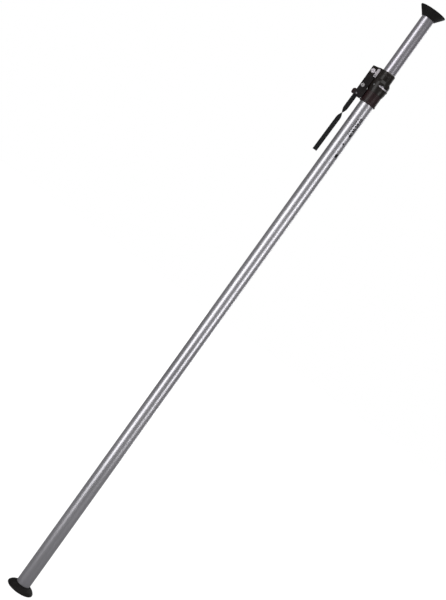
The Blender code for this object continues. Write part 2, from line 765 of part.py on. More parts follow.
def make_lock_plate(carriage):
    """The bright plate beside the lever pin's head, and its screw."""
    near = -LEVER_HALF_WIDTH - SEAT
    thickness = 0.0012
    left, right = PIVOT.x + 0.0097, PIVOT.x + 0.0177
    low, high = PIVOT.z - EAR_ARC + 0.0010, PIVOT.z + 0.0145
    tooth = PIVOT.x + PIN_HEAD_RADIUS + SEAT
    outline = [
        (left, low),
        (right, low),
        (right, high - 0.0015),
        (right - 0.0020, high),
        (left + 0.0015, high),
        (left, high - 0.0015),
        (left, PIVOT.z + 0.0022),
        (tooth, PIVOT.z + 0.0018),
        (tooth, PIVOT.z - 0.0018),
        (left, PIVOT.z - 0.0022),
    ]
    plate = add_object("pin_lock_plate", prism(outline, near - thickness, near), steel())
    place = Vector(((left + right) / 2, 0, PIVOT.z - 0.0090))
    face = near - thickness - SEAT
    shank = across(place, SCREW_RADIUS, face - 0.0004, near + 0.0028, 12)
    screw = add_object("lock_plate_screw", shank, steel())
    join(screw, "head", across(place, SCREW_HEAD_RADIUS, face - SCREW_HEAD, face, 16))
    cut(plate, "screw_hole", across(place, SCREW_RADIUS + HOLE, face - 0.002, near + 0.002, 12))
    cut(carriage, "plate_screw_hole", across(place, SCREW_RADIUS + HOLE, face, near + 0.0032, 12))


def cam_face(steps=12):
    """The cam's working face, whose distance to the pad falls evenly as the lever opens."""
    rate = LIFT / LEVER_OPEN
    points = []
    for i in range(steps + 1):
        angle = LEVER_OPEN * i / steps
        reach = CAM_HEIGHT - rate * angle
        x = reach * math.sin(angle) - rate * math.cos(angle)
        z = -reach * math.cos(angle) - rate * math.sin(angle)
        points.append((PIVOT.x + x, PIVOT.z + z))
    return points


def make_lever():
    """A channel with a window for the catch's thumb tab, and a root with the cam between the ears."""
    x, z, half = PIVOT.x, PIVOT.z, LEVER_HALF_WIDTH
    outer, inner = x - LEVER_OUT, CHEEK_AT_SKIRT
    top, bottom = z - CHEEK_TOP, z - LEVER_REACH
    beside, step = CHEEK_AT_COLLAR, TUBE_TOP - 0.0035
    side = [
        (inner - 0.0020, bottom),
        (inner, bottom + 0.0020),
        (inner, bottom + 0.0040),
        (beside, bottom + 0.0060),
        (beside, step),
        (inner, step + 0.0020),
        (inner, top - 0.0030),
        (inner - 0.0030, top),
        (outer, top),
        (outer, bottom + 0.0015),
        (outer + 0.0015, bottom),
    ]
    lever = add_object("lever", prism(side, -half, half), lever_black())
    web = outer + WEB
    cut(lever, "channel", box((web, -EAR_INNER, bottom - 0.002), (beside + 0.002, EAR_INNER, top + 0.002)))
    window_high = (web + 0.002, EAR_INNER, z - WINDOW_REACH)
    cut(lever, "window", box((outer - 0.002, -EAR_INNER, bottom - 0.002), window_high))
    root = [
        *cam_face(),
        *arc((x, z), LEVER_OUT, 55, 180, 8),
        (outer, top - 0.0110),
        (web, top - 0.0110),
        (web, z - CAM_HEIGHT),
    ]
    join(lever, "root", prism(root, -ROOT_HALF_WIDTH, ROOT_HALF_WIDTH))
    cut(lever, "pin_hole", across(PIVOT, PIN_RADIUS + HOLE, -0.02, 0.02))
    cut(lever, "catch_hole", across(CATCH_PIVOT, CATCH_PIN_RADIUS + HOLE, -0.02, 0.02))
    cut(lever, "strap_hole", across(STRAP_PIN, STRAP_PIN_RADIUS + HOLE, -0.02, 0.02, 12))


def make_catch():
    x, z = CATCH_PIVOT.x, CATCH_PIVOT.z
    thumb = x - THUMB_OUT
    outline = [
        *arc((x, z), CATCH_HUB, 20, 180, 8),
        (x - CATCH_HUB, z - 0.0167),
        (x - 0.0093, z - 0.0185),
        (thumb + 0.0030, z - 0.0180),
        (thumb, z - 0.0200),
        (thumb, z - 0.0320),
        (thumb + 0.0020, z - 0.0352),
        (x - 0.0069, z - 0.0352),
        (x - 0.0065, z - 0.0210),
        (x - 0.0018, z - 0.0200),
        (x - 0.0012, z - 0.0060),
        (x + 0.0030, z - 0.0042),
    ]
    half = CATCH_HALF_WIDTH
    catch = add_object("safety_catch", prism(outline, -half, half), casting_black())
    nose = [
        (x, z - 0.0026),
        (x + NOSE_OUT - 0.0010, z - 0.0026),
        (x + NOSE_OUT, z - 0.0014),
        (x + NOSE_OUT, z + 0.0018),
        (x, z + 0.0026),
    ]
    join(catch, "nose", prism(nose, -NOSE_HALF_WIDTH, NOSE_HALF_WIDTH))
    cut(catch, "strap_slot", box((thumb + 0.0030, -0.0016, z - 0.040), (x + 0.01, 0.0016, z - 0.0190)))
    cut(catch, "pin_hole", across(CATCH_PIVOT, CATCH_PIN_RADIUS + HOLE, -0.02, 0.02))
    room = CATCH_COIL_RADIUS + CATCH_COIL_WIRE + 0.0040
    coil_room = across(CATCH_PIVOT, room, NOSE_HALF_WIDTH + 0.0004, half + 0.001)
    cut(catch, "coil_room", coil_room)


def make_catch_fittings():
    near, far = -LEVER_HALF_WIDTH - SEAT, LEVER_HALF_WIDTH + SEAT
    pin = add_object("catch_pin", across(CATCH_PIVOT, CATCH_PIN_RADIUS, near - 0.0005, far + 0.0020), steel())
    join(pin, "head", across(CATCH_PIVOT, CATCH_HEAD_RADIUS, near - CATCH_HEAD, near, 24))
    clip_disc = across(CATCH_PIVOT, CATCH_PIN_RADIUS + 0.0022, far, far + 0.0008)
    clip = add_object("catch_pin_clip", clip_disc, steel())
    cut(clip, "bore", across(CATCH_PIVOT, CATCH_PIN_RADIUS + HOLE, far - 0.001, far + 0.002))
    turns, pitch = 3, 0.00135
    start = Vector((CATCH_PIVOT.x, EAR_INNER - SEAT - CATCH_COIL_WIRE, CATCH_PIVOT.z))
    coil = helix("catch_spring", CATCH_COIL_RADIUS, pitch, turns, CATCH_COIL_WIRE, start, 10, 1, steel())
    coil.rotation_euler = (math.radians(90), 0, 0)
    strap_pin = across(STRAP_PIN, STRAP_PIN_RADIUS, near - 0.0004, far + 0.0004, 12)
    rivet = add_object("strap_rivet", strap_pin, steel())
    join(rivet, "near_head", across(STRAP_PIN, STRAP_PIN_RADIUS + 0.0012, near - 0.0009, near, 12))
    join(rivet, "far_head", across(STRAP_PIN, STRAP_PIN_RADIUS + 0.0012, far, far + 0.0009, 12))


def strap_turn(down):
    """How far the strap is twisted at a distance below its pin: half a turn, eased in and out."""
    share = (down - STRAP_TWIST_START) / (STRAP_TWIST_END - STRAP_TWIST_START)
    share = min(1.0, max(0.0, share))
    return math.pi * share * share * (3 - 2 * share)


def strap_steps(start):
    """Distances below the strap's pin: few where it hangs flat, and many where it twists."""
    stretches = (
        (start, STRAP_TWIST_START, 3),
        (STRAP_TWIST_START, STRAP_TWIST_END, 34),
        (STRAP_TWIST_END, STRAP_LENGTH, 6),
    )
    downs = [start]
    for first, last, steps in stretches:
        downs += [first + (last - first) * (i + 1) / steps for i in range(steps)]
    return downs


def make_strap():
    """A flat strap that hangs from its pin between the lever's cheeks, with half a twist in it."""
    round_end = arc((STRAP_PIN.x, STRAP_PIN.z), STRAP_WIDTH / 2, 0, 180, 10)
    flat = 0.0060
    left, right = STRAP_PIN.x - STRAP_WIDTH / 2, STRAP_PIN.x + STRAP_WIDTH / 2
    tongue = [*round_end, (left, STRAP_PIN.z - flat), (right, STRAP_PIN.z - flat)]
    strap = add_object("strap", prism(tongue, -STRAP_THICKNESS / 2, STRAP_THICKNESS / 2), webbing())
    bm = bmesh.new()
    rings = []
    for down in strap_steps(flat - 0.001):
        centre = STRAP_PIN + Vector((-STRAP_LEAN * down / STRAP_LENGTH, 0, -down))
        turn = Matrix.Rotation(strap_turn(down), 3, "Z")
        corners = [(-1, -1), (1, -1), (1, 1), (-1, 1)]
        rings.append([
            bm.verts.new(centre + turn @ Vector((a * STRAP_WIDTH / 2, b * STRAP_THICKNESS / 2, 0)))
            for a, b in corners
        ])
    bm.faces.new(rings[0])
    bm.faces.new(rings[-1])
    for above, below in zip(rings, rings[1:]):
        for i in range(4):
            j = (i + 1) % 4
            bm.faces.new((above[i], above[j], below[j], below[i]))
    join(strap, "ribbon", bm)
    cut(strap, "rivet_hole", across(STRAP_PIN, STRAP_PIN_RADIUS + HOLE, -0.01, 0.01, 12))


def make_joint(name, place, pieces, carrier=None, carrier_place=None):
    """An empty on a joint's axis. It carries the pieces that move there, and rides on its own carrier."""
    empty = bpy.data.objects.new(name, None)
    empty.empty_display_size = 0.020
    bpy.context.scene.collection.objects.link(empty)
    empty.location = place if carrier is None else place - carrier_place
    empty.parent = carrier
    for piece in pieces:
        moved = bpy.data.objects[piece]
        moved.parent = empty
        moved.matrix_parent_inverse = Matrix.Translation(-place)
    return empty


def make_joints():
    """Joins the moving pieces: the inner tube, the carriage, and on it the brake, lever, catch and strap."""
    make_joint("inner_tube_joint", Vector((0, 0, INNER_BASE)), INNER_PIECES)
    slide = Vector((0, 0, SKIRT_BASE))
    carriage = make_joint("carriage_joint", slide, CARRIAGE_PIECES)
    make_joint("brake_joint", BRAKE_PIVOT, ("brake_plate",), carriage, slide)
    lever = make_joint("lever_joint", PIVOT, LEVER_PIECES, carriage, slide)
    make_joint("catch_joint", CATCH_PIVOT, ("safety_catch",), lever, PIVOT)
    make_joint("strap_joint", STRAP_PIN, ("strap",), lever, PIVOT)


def main():
    clear_scene()
    make_outer_tube()
    make_inner_tube()
    make_floor_foot()
    make_foot_fittings()
    make_ceiling_cup()
    make_bushes()
    make_lock_collar()
    carriage = make_carriage()
    make_neck_wiper()
    make_retainer(carriage)
    make_brake_plate()
    make_brake_spring()
    make_lever_pin()
    make_lock_plate(carriage)
    make_lever()
    make_catch()
    make_catch_fittings()
    make_strap()
    make_joints()


main()
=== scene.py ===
"""Floor-to-ceiling pole: two telescoping aluminium tubes, rubber ends and a black lever lock with a strap.

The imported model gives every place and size. Each sub-assembly below is a class that shapes its pieces with bmesh
operators, dresses them and hangs them on the body they move with. Metres, +Z up, the pole's axis on the Z axis.
"""

import logging
import math
from collections.abc import Iterable, Sequence
from dataclasses import dataclass, field
from enum import Enum

import bmesh
import bpy
from mathutils import Matrix, Vector


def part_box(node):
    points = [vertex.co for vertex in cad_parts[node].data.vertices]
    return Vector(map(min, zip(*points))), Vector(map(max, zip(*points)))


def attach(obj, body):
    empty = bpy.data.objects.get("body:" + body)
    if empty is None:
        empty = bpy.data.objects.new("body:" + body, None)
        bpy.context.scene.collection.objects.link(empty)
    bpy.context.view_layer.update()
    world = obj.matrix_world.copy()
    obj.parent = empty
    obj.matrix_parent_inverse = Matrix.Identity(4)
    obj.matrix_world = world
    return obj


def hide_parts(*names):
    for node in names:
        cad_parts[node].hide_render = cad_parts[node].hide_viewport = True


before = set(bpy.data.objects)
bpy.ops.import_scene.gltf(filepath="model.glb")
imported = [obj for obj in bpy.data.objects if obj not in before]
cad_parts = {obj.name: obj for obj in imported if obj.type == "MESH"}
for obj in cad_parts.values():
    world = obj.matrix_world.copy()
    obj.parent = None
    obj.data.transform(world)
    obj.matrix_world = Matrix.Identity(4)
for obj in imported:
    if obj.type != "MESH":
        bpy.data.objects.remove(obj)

LOG = logging.getLogger("pole")
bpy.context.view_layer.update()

Point = tuple[float, float]
Colour = tuple[float, float, float]

GAP = 0.0003
FINE = 160  # sides of the large turned pieces
SMALL = 48


class Body(Enum):
    """The bodies that pieces move with."""

    BASE = "pole_base"
    INNER = "inner"
    CARRIAGE = "carriage"
    LEVER = "lever"
    BRAKE = "brake"
    CATCH = "catch"
    STRAP = "strap"


class Slot(Enum):
    """The material slots of the record."""

    TUBE = "satin_aluminium"
    CASTING = "casting_black"
    LEVER = "lever_black"
    RUBBER = "rubber"
    NYLON = "nylon"
    STEEL = "steel"
    WEBBING = "webbing"


# Shaping


def middle(node: str) -> Vector:
    """The middle of a CAD node's box.

    Args:
        node: The node's name.

    Returns:
        The point, in the row frame.
    """
    low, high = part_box(node)
    return (low + high) / 2


def turned(profile: Sequence[Point], sides: int = FINE, fillet: float = 0.0, closed: bool = True) -> bmesh.types.BMesh:
    """Spins a profile about the Z axis, with its corners rounded first.

    Args:
        profile: Corners as (radius, height).
        sides: How many steps the turn has.
        fillet: How much of each corner is rounded off.
        closed: Whether the profile runs back to its start. One that starts and ends on the axis doesn't.

    Returns:
        The turned mesh.
    """
    bm = bmesh.new()
    corners = [bm.verts.new((radius, 0.0, height)) for radius, height in profile]
    last = len(corners) if closed else len(corners) - 1
    for i in range(last):
        bm.edges.new((corners[i], corners[(i + 1) % len(corners)]))
    if fillet:
        rounded = corners if closed else corners[1:-1]
        bmesh.ops.bevel(bm, geom=rounded, offset=fillet, segments=3, profile=0.5, affect="VERTICES",
                        clamp_overlap=True, material=-1)
    bmesh.ops.spin(bm, geom=bm.verts[:] + bm.edges[:], cent=(0, 0, 0), axis=(0, 0, 1), angle=2 * math.pi,
                   steps=sides, use_merge=True)
    bmesh.ops.remove_doubles(bm, verts=bm.verts, dist=1e-6)
    bmesh.ops.recalc_face_normals(bm, faces=bm.faces)
    return bm


def slab(outline: Sequence[Point], low: float, high: float, fillet: float = 0.0, upright: bool = True,
         segments: int = 2) -> bmesh.types.BMesh:
    """Extrudes an outline between two planes and rounds its edges.

    Args:
        outline: Corners as (x, z) where upright, else as (x, y).
        low: Where the slab starts, along Y where upright, else along Z.
        high: Where it ends.
        fillet: How much of each edge is rounded off.
        upright: Whether the outline stands in the XZ plane.
        segments: How many steps each rounded edge has.

    Returns:
        The slab's mesh.
    """
    bm = bmesh.new()
    places = [(a, low, b) if upright else (a, b, low) for a, b in outline]
    face = bm.faces.new([bm.verts.new(place) for place in places])
    grown = bmesh.ops.extrude_face_region(bm, geom=[face])["geom"]
    along = Vector((0, high - low, 0)) if upright else Vector((0, 0, high - low))
    bmesh.ops.translate(bm, verts=[v for v in grown if isinstance(v, bmesh.types.BMVert)], vec=along)
    bmesh.ops.recalc_face_normals(bm, faces=bm.faces)
    if fillet:
        sharp = [edge for edge in bm.edges if edge.calc_face_angle(0.0) > math.radians(24)]
        bmesh.ops.bevel(bm, geom=sharp, offset=fillet, segments=segments, profile=0.5, affect="EDGES",
                        clamp_overlap=True, material=-1)
    return bm


def block(low: Sequence[float], high: Sequence[float], fillet: float = 0.0) -> bmesh.types.BMesh:
    """A box between two corners, with rounded edges.

    Args:
        low: Its lowest corner.
        high: Its highest corner.
        fillet: How much of each edge is rounded off.

    Returns:
        The box's mesh.
    """
    bm = bmesh.new()
    size = Vector(high) - Vector(low)
    place = Matrix.Translation((Vector(high) + Vector(low)) / 2) @ Matrix.Diagonal((*size, 1.0))
    bmesh.ops.create_cube(bm, size=1.0, matrix=place)
    if fillet:
        bmesh.ops.bevel(bm, geom=bm.edges[:], offset=fillet, segments=2, profile=0.5, affect="EDGES",
                        clamp_overlap=True, material=-1)
    return bm


def bar(start: Sequence[float], end: Sequence[float], radius: float, sides: int = SMALL,
        fillet: float = 0.0) -> bmesh.types.BMesh:
    """A round bar from one point to another, with rounded ends.

    Args:
        start: The middle of its first end.
        end: The middle of its other end.
        radius: Its radius.
        sides: How many sides it has.
        fillet: How much of each end's edge is rounded off.

    Returns:
        The bar's mesh.
    """
    first, last = Vector(start), Vector(end)
    turn = (last - first).to_track_quat("Z", "Y").to_matrix().to_4x4()
    bm = bmesh.new()
    bmesh.ops.create_cone(bm, cap_ends=True, segments=sides, radius1=radius, radius2=radius,
                          depth=(last - first).length, matrix=Matrix.Translation((first + last) / 2) @ turn)
    if fillet:
        rims = [edge for edge in bm.edges if edge.calc_face_angle(0.0) > math.radians(60)]
        bmesh.ops.bevel(bm, geom=rims, offset=fillet, segments=3, profile=0.5, affect="EDGES", clamp_overlap=True,
                        material=-1)
    return bm


def across(point: Vector, radius: float, low: float, high: float, sides: int = SMALL,
           fillet: float = 0.0) -> bmesh.types.BMesh:
    """A round bar along Y through a point.

    Args:
        point: A point on its axis.
        radius: Its radius.
        low: Where it starts, along Y.
        high: Where it ends.
        sides: How many sides it has.
        fillet: How much of each end's edge is rounded off.

    Returns:
        The bar's mesh.
    """
    return bar((point.x, low, point.z), (point.x, high, point.z), radius, sides, fillet)


def sweep_angle(angle: float, radius: float, height: float) -> Vector:
    """A point round the pole.

    Args:
        angle: Its angle from -Y towards +X, in degrees.
        radius: Its distance from the pole's axis.
        height: Its height.

    Returns:
        The point.
    """
    turn = math.radians(angle)
    return Vector((radius * math.sin(turn), -radius * math.cos(turn), height))


def arc(centre: Point, radius: float, first: float, last: float, steps: int) -> list[Point]:
    """Points on an arc.

    Args:
        centre: Its centre.
        radius: Its radius.
        first: The angle it starts at, in degrees.
        last: The angle it ends at.
        steps: How many steps it has.

    Returns:
        The points.
    """
    angles = [math.radians(first + (last - first) * i / steps) for i in range(steps + 1)]
    return [(centre[0] + radius * math.cos(a), centre[1] + radius * math.sin(a)) for a in angles]


def wedge(inner: float, outer: float, first: float, last: float, low: float, high: float, steps: int = 24,
          fillet: float = 0.0) -> bmesh.types.BMesh:
    """A slab between two radii and two angles round the pole.

    Args:
        inner: Its inner radius.
        outer: Its outer radius.
        first: Its first angle from -Y towards +X, in degrees.
        last: Its last angle.
        low: Its underside.
        high: Its top.
        steps: How many steps its curve has.
        fillet: How much of each edge is rounded off.

    Returns:
        The slab's mesh.
    """
    angles = [first + (last - first) * i / steps for i in range(steps + 1)]
    outside = [tuple(sweep_angle(a, outer, 0).xy) for a in angles]
    inside = [tuple(sweep_angle(a, inner, 0).xy) for a in reversed(angles)]
    return slab(outside + inside, low, high, fillet, upright=False)


def as_object(name: str, bm: bmesh.types.BMesh) -> bpy.types.Object:
    """Puts a mesh into the scene under a name.

    Args:
        name: The object's name.
        bm: Its mesh, which is freed.

    Returns:
        The object.
    """
    mesh = bpy.data.meshes.new(name)
    bm.to_mesh(mesh)
    bm.free()
    made = bpy.data.objects.new(name, mesh)
    bpy.context.scene.collection.objects.link(made)
    return made


def carved(name: str, base: bmesh.types.BMesh, joined: Iterable[bmesh.types.BMesh] = (),
           removed: Iterable[bmesh.types.BMesh] = ()) -> bpy.types.Object:
    """Joins solids to a base, then cuts others out of it, and keeps only the result.

    Args:
        name: The object's name.
        base: The solid to start from.
        joined: Solids that are united with it.
        removed: Solids that are cut out afterwards.

    Returns:
        The finished object, with no modifiers left on it.
    """
    made = as_object(name, base)
    helpers = []
    for kind, solids in (("UNION", joined), ("DIFFERENCE", removed)):
        for solid in solids:
            helper = as_object("helper", solid)
            step = made.modifiers.new("step", "BOOLEAN")
            step.operation, step.solver, step.object = kind, "EXACT", helper
            helpers.append(helper)
    bpy.context.view_layer.update()
    shape = bpy.data.meshes.new_from_object(made.evaluated_get(bpy.context.evaluated_depsgraph_get()))
    made.modifiers.clear()
    made.data = shape
    shape.name = name
    for helper in helpers:
        spare = helper.data
        bpy.data.objects.remove(helper)
        bpy.data.meshes.remove(spare)
    bm = bmesh.new()
    bm.from_mesh(shape)
    bmesh.ops.remove_doubles(bm, verts=bm.verts, dist=2e-6)
    bmesh.ops.dissolve_limit(bm, angle_limit=math.radians(0.4), verts=bm.verts, edges=bm.edges)
    bm.to_mesh(shape)
    bm.free()
    return made


def wrapped(bm: bmesh.types.BMesh, radius: float) -> bmesh.types.BMesh:
    """Lays a flat mesh round the pole: its x runs round the tube, and its y stands out from it.

    Args:
        bm: The mesh, whose x is a distance round the tube from -Y.
        radius: The tube's radius.

    Returns:
        The same mesh.
    """
    for vert in bm.verts:
        vert.co = sweep_angle(math.degrees(vert.co.x / radius), radius - vert.co.y, vert.co.z)
    return bm


def settle(piece: bpy.types.Object, finish: bpy.types.Material, body: Body,
           nodes: Sequence[str] = (), angle: float = 32.0) -> bpy.types.Object:
    """Shades a piece, gives it its finish and hangs it on its body.

    Args:
        piece: The piece.
        finish: Its material.
        body: The body it moves with.
        nodes: The CAD nodes it stands for.
        angle: Edges sharper than this stay sharp, in degrees.

    Returns:
        The piece.
    """
    piece.data.shade_smooth()
    piece.data.set_sharp_from_angle(angle=math.radians(angle))
    even = piece.modifiers.new("even_normals", "WEIGHTED_NORMAL")
    even.keep_sharp = True
    piece.data.materials.clear()
    piece.data.materials.append(finish)
    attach(piece, body.value)
    if nodes:
        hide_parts(*nodes)
    LOG.info("%s: %d faces, on %s", piece.name, len(piece.data.polygons), body.value)
    return piece


def dress(node: str, finish: bpy.types.Material) -> None:
    """Gives a CAD node that stays its finish.

    Args:
        node: The node's name.
        finish: Its material.
    """
    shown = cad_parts[node]
    shown.data.materials.clear()
    shown.data.materials.append(finish)
    LOG.info("%s: kept and dressed", node)


# Finishes


class Recipe:
    """A material's node tree around one Principled shader, on Object coordinates unless a map is named."""

    def __init__(self, name: str, colour: Colour, metallic: float = 0.0) -> None:
        """Starts the material.

        Args:
            name: The material's name.
            colour: The plain colour, which shows in simple viewers too.
            metallic: 1 for bare metal.
        """
        self.material = bpy.data.materials.new(name)
        self.material.use_nodes = True
        self.material.diffuse_color = (*colour, 1.0)
        self.tree = self.material.node_tree
        self.shader = self.tree.nodes["Principled BSDF"]
        self.shader.inputs["Base Color"].default_value = (*colour, 1.0)
        self.shader.inputs["Metallic"].default_value = metallic
        self.place = self.node("ShaderNodeTexCoord").outputs["Object"]
        self.height: bpy.types.NodeSocket | None = None

    def node(self, kind: str, **settings: object) -> bpy.types.Node:
        """Adds a node.

        Args:
            kind: Its type's name.
            settings: Its own settings by name.

        Returns:
            The node.
        """
        made = self.tree.nodes.new(kind)
        for key, value in settings.items():
            setattr(made, key, value)
        return made

    def link(self, source: bpy.types.NodeSocket, target: bpy.types.NodeSocket) -> None:
        """Joins two sockets."""
        self.tree.links.new(source, target)

    def stretched(self, scale: Sequence[float], source: bpy.types.NodeSocket | None = None) -> bpy.types.NodeSocket:
        """The coordinates, stretched.

        Args:
            scale: How much along each axis.
            source: Other coordinates than the object's.

        Returns:
            The socket that gives them.
        """
        mapping = self.node("ShaderNodeMapping")
        mapping.inputs["Scale"].default_value = scale
        self.link(source or self.place, mapping.inputs["Vector"])
        return mapping.outputs["Vector"]

    def elevation(self) -> bpy.types.NodeSocket:
        """The height above the floor, in metres, with the piece at rest."""
        place = self.node("ShaderNodeTexCoord")
        split = self.node("ShaderNodeSeparateXYZ")
        self.link(place.outputs["Object"], split.inputs[0])
        return split.outputs[2]

    def noise(self, scale: float, detail: float = 3.0, stretch: Sequence[float] = (1, 1, 1),
              rough: float = 0.55) -> bpy.types.NodeSocket:
        """A noise pattern from 0 to 1.

        Args:
            scale: How many features to a metre.
            detail: How many finer layers it has.
            stretch: How much it is drawn out along each axis.
            rough: How strong the finer layers are.

        Returns:
            The socket that gives it.
        """
        made = self.node("ShaderNodeTexNoise")
        made.inputs["Scale"].default_value = scale
        made.inputs["Detail"].default_value = detail
        made.inputs["Roughness"].default_value = rough
        self.link(self.stretched(stretch), made.inputs["Vector"])
        return made.outputs["Fac"]

    def ranged(self, source: bpy.types.NodeSocket, low: float, high: float, start: float = 0.3,
               end: float = 0.7) -> bpy.types.NodeSocket:
        """Maps a pattern onto a range.

        Args:
            source: The pattern.
            low: What its start becomes.
            high: What its end becomes.
            start: The pattern's value at the start.
            end: Its value at the end.

        Returns:
            The socket that gives the result.
        """
        made = self.node("ShaderNodeMapRange")
        for key, value in (("From Min", start), ("From Max", end), ("To Min", low), ("To Max", high)):
            made.inputs[key].default_value = value
        self.link(source, made.inputs["Value"])
        return made.outputs["Result"]

    def maths(self, kind: str, first: bpy.types.NodeSocket,
              second: bpy.types.NodeSocket | float) -> bpy.types.NodeSocket:
        """Joins two values with an operation.

        Args:
            kind: The operation's name.
            first: The first value.
            second: The other value, or a number.

        Returns:
            The socket that gives the result.
        """
        made = self.node("ShaderNodeMath", operation=kind)
        self.link(first, made.inputs[0])
        if isinstance(second, (int, float)):
            made.inputs[1].default_value = second
        else:
            self.link(second, made.inputs[1])
        return made.outputs[0]

    def tint(self, mask: bpy.types.NodeSocket, first: Colour, second: Colour) -> bpy.types.NodeSocket:
        """Mixes two colours by a mask.

        Args:
            mask: 0 gives the first colour and 1 the second.
            first: The first colour.
            second: The second colour.

        Returns:
            The socket that gives the mix.
        """
        made = self.node("ShaderNodeMix", data_type="RGBA")
        made.inputs[6].default_value = (*first, 1.0)
        made.inputs[7].default_value = (*second, 1.0)
        self.link(mask, made.inputs[0])
        return made.outputs[2]

    def over(self, mask: bpy.types.NodeSocket, under: bpy.types.NodeSocket, colour: Colour) -> bpy.types.NodeSocket:
        """Lays a colour over a pattern by a mask.

        Args:
            mask: How much of the colour shows.
            under: The pattern under it.
            colour: The colour.

        Returns:
            The socket that gives the result.
        """
        made = self.node("ShaderNodeMix", data_type="RGBA")
        made.inputs[7].default_value = (*colour, 1.0)
        self.link(under, made.inputs[6])
        self.link(mask, made.inputs[0])
        return made.outputs[2]

    def worn_edges(self, radius: float, grain: float) -> bpy.types.NodeSocket:
        """A mask of the edges that hands and cases rub.

        Args:
            radius: How wide the worn line is.
            grain: How many breaks in it to a metre.

        Returns:
            The socket that gives the mask.
        """
        soft = self.node("ShaderNodeBevel", samples=4)
        soft.inputs["Radius"].default_value = radius
        face = self.node("ShaderNodeNewGeometry")
        facing = self.node("ShaderNodeVectorMath", operation="DOT_PRODUCT")
        self.link(soft.outputs["Normal"], facing.inputs[0])
        self.link(face.outputs["Normal"], facing.inputs[1])
        edge = self.ranged(facing.outputs["Value"], 1.0, 0.0, 0.93, 0.995)
        broken = self.ranged(self.noise(grain, 4.0), 0.0, 1.0, 0.45, 0.62)
        return self.maths("MULTIPLY", edge, broken)

    def relief(self, pattern: bpy.types.NodeSocket, strength: float, depth: float, rounding: float = 0.0) -> None:
        """Raises a pattern on the surface, and rounds the edges' shading.

        Args:
            pattern: The pattern's height, from 0 to 1.
            strength: How strongly it shows.
            depth: Its depth in metres.
            rounding: The radius of the edges' soft shading.
        """
        bump = self.node("ShaderNodeBump")
        bump.inputs["Strength"].default_value = strength
        bump.inputs["Distance"].default_value = depth
        self.link(pattern, bump.inputs["Height"])
        if rounding:
            soft = self.node("ShaderNodeBevel", samples=4)
            soft.inputs["Radius"].default_value = rounding
            self.link(soft.outputs["Normal"], bump.inputs["Normal"])
        self.link(bump.outputs["Normal"], self.shader.inputs["Normal"])

    def colour(self, source: bpy.types.NodeSocket) -> None:
        """Drives the base colour."""
        self.link(source, self.shader.inputs["Base Color"])

    def roughness(self, source: bpy.types.NodeSocket) -> None:
        """Drives the roughness."""
        self.link(source, self.shader.inputs["Roughness"])

    def fixed(self, **values: float) -> None:
        """Sets sockets that are the same all over, by their names with underscores for spaces."""
        for key, value in values.items():
            self.shader.inputs[key.replace("_", " ")].default_value = value


@dataclass(frozen=True)
class DrawnTubeFinish:
    """Drawn and satin-anodised aluminium: fine lines along the tube, faint rubbing, and painted shade that darkens it
    towards the floor.
    """

    name: str
    tone: Colour = (0.655, 0.645, 0.685)
    polish: float = 0.33
    # How strongly painted shade darkens the tube towards the floor; 0 paints none.
    painted_foot_shade: float = 0.0

    def make(self) -> bpy.types.Material:
        """Makes the material."""
        mix = Recipe(self.name, self.tone, 1.0)
        lines = mix.noise(900.0, 2.0, (1.0, 1.0, 0.006))
        clouds = mix.noise(7.0, 3.0, (1.0, 1.0, 0.25))
        dark = tuple(0.86 * part for part in self.tone)
        light = tuple(min(1.0, 1.06 * part) for part in self.tone)
        base = mix.tint(mix.ranged(clouds, 0.0, 1.0, 0.35, 0.65), dark, light)
        scuffs = mix.ranged(mix.noise(160.0, 4.0, (1.0, 1.0, 0.03)), 0.0, 0.35, 0.62, 0.72)
        # Painted shade: over the lowest 0.55 m the colour fades towards (0.17, 0.165, 0.18), lightly broken by the
        # clouds. It stands in for light falling off near the floor.
        painted_shade_by_height = mix.ranged(mix.elevation(), self.painted_foot_shade, 0.0, 0.0, 0.55)
        painted_shade_mask = mix.maths("MULTIPLY", painted_shade_by_height, mix.ranged(clouds, 0.8, 1.0))
        mix.colour(mix.over(painted_shade_mask, mix.over(scuffs, base, (0.42, 0.42, 0.43)), (0.17, 0.165, 0.18)))
        rough = mix.maths("ADD", mix.ranged(lines, self.polish - 0.03, self.polish + 0.03),
                          mix.ranged(clouds, 0.0, 0.06))
        mix.roughness(rough)
        mix.relief(lines, 0.025, 0.00002)
        return mix.material


@dataclass(frozen=True)
class CoatedCastingFinish:
    """A die casting under black coat: fine orange peel, a warm or cool cast, edges rubbed down to grey."""

    name: str
    tone: Colour = (0.012, 0.0105, 0.0115)
    rubbed: Colour = (0.075, 0.070, 0.072)
    polish: float = 0.30
    wear: float = 0.75

    def make(self) -> bpy.types.Material:
        """Makes the material."""
        mix = Recipe(self.name, self.tone)
        clouds = mix.noise(45.0, 3.0)
        peel = mix.noise(1400.0, 2.0)
        lighter = tuple(1.9 * part for part in self.tone)
        base = mix.tint(mix.ranged(clouds, 0.0, 1.0), self.tone, lighter)
        worn = mix.maths("MULTIPLY", mix.worn_edges(0.0006, 420.0), self.wear)
        mix.colour(mix.over(worn, base, self.rubbed))
        mix.roughness(mix.maths("ADD", mix.ranged(clouds, self.polish - 0.05, self.polish + 0.09),
                                mix.ranged(peel, -0.03, 0.03)))
        mix.fixed(Specular_IOR_Level=0.36)
        mix.relief(peel, 0.22, 0.00006, 0.0005)
        return mix.material


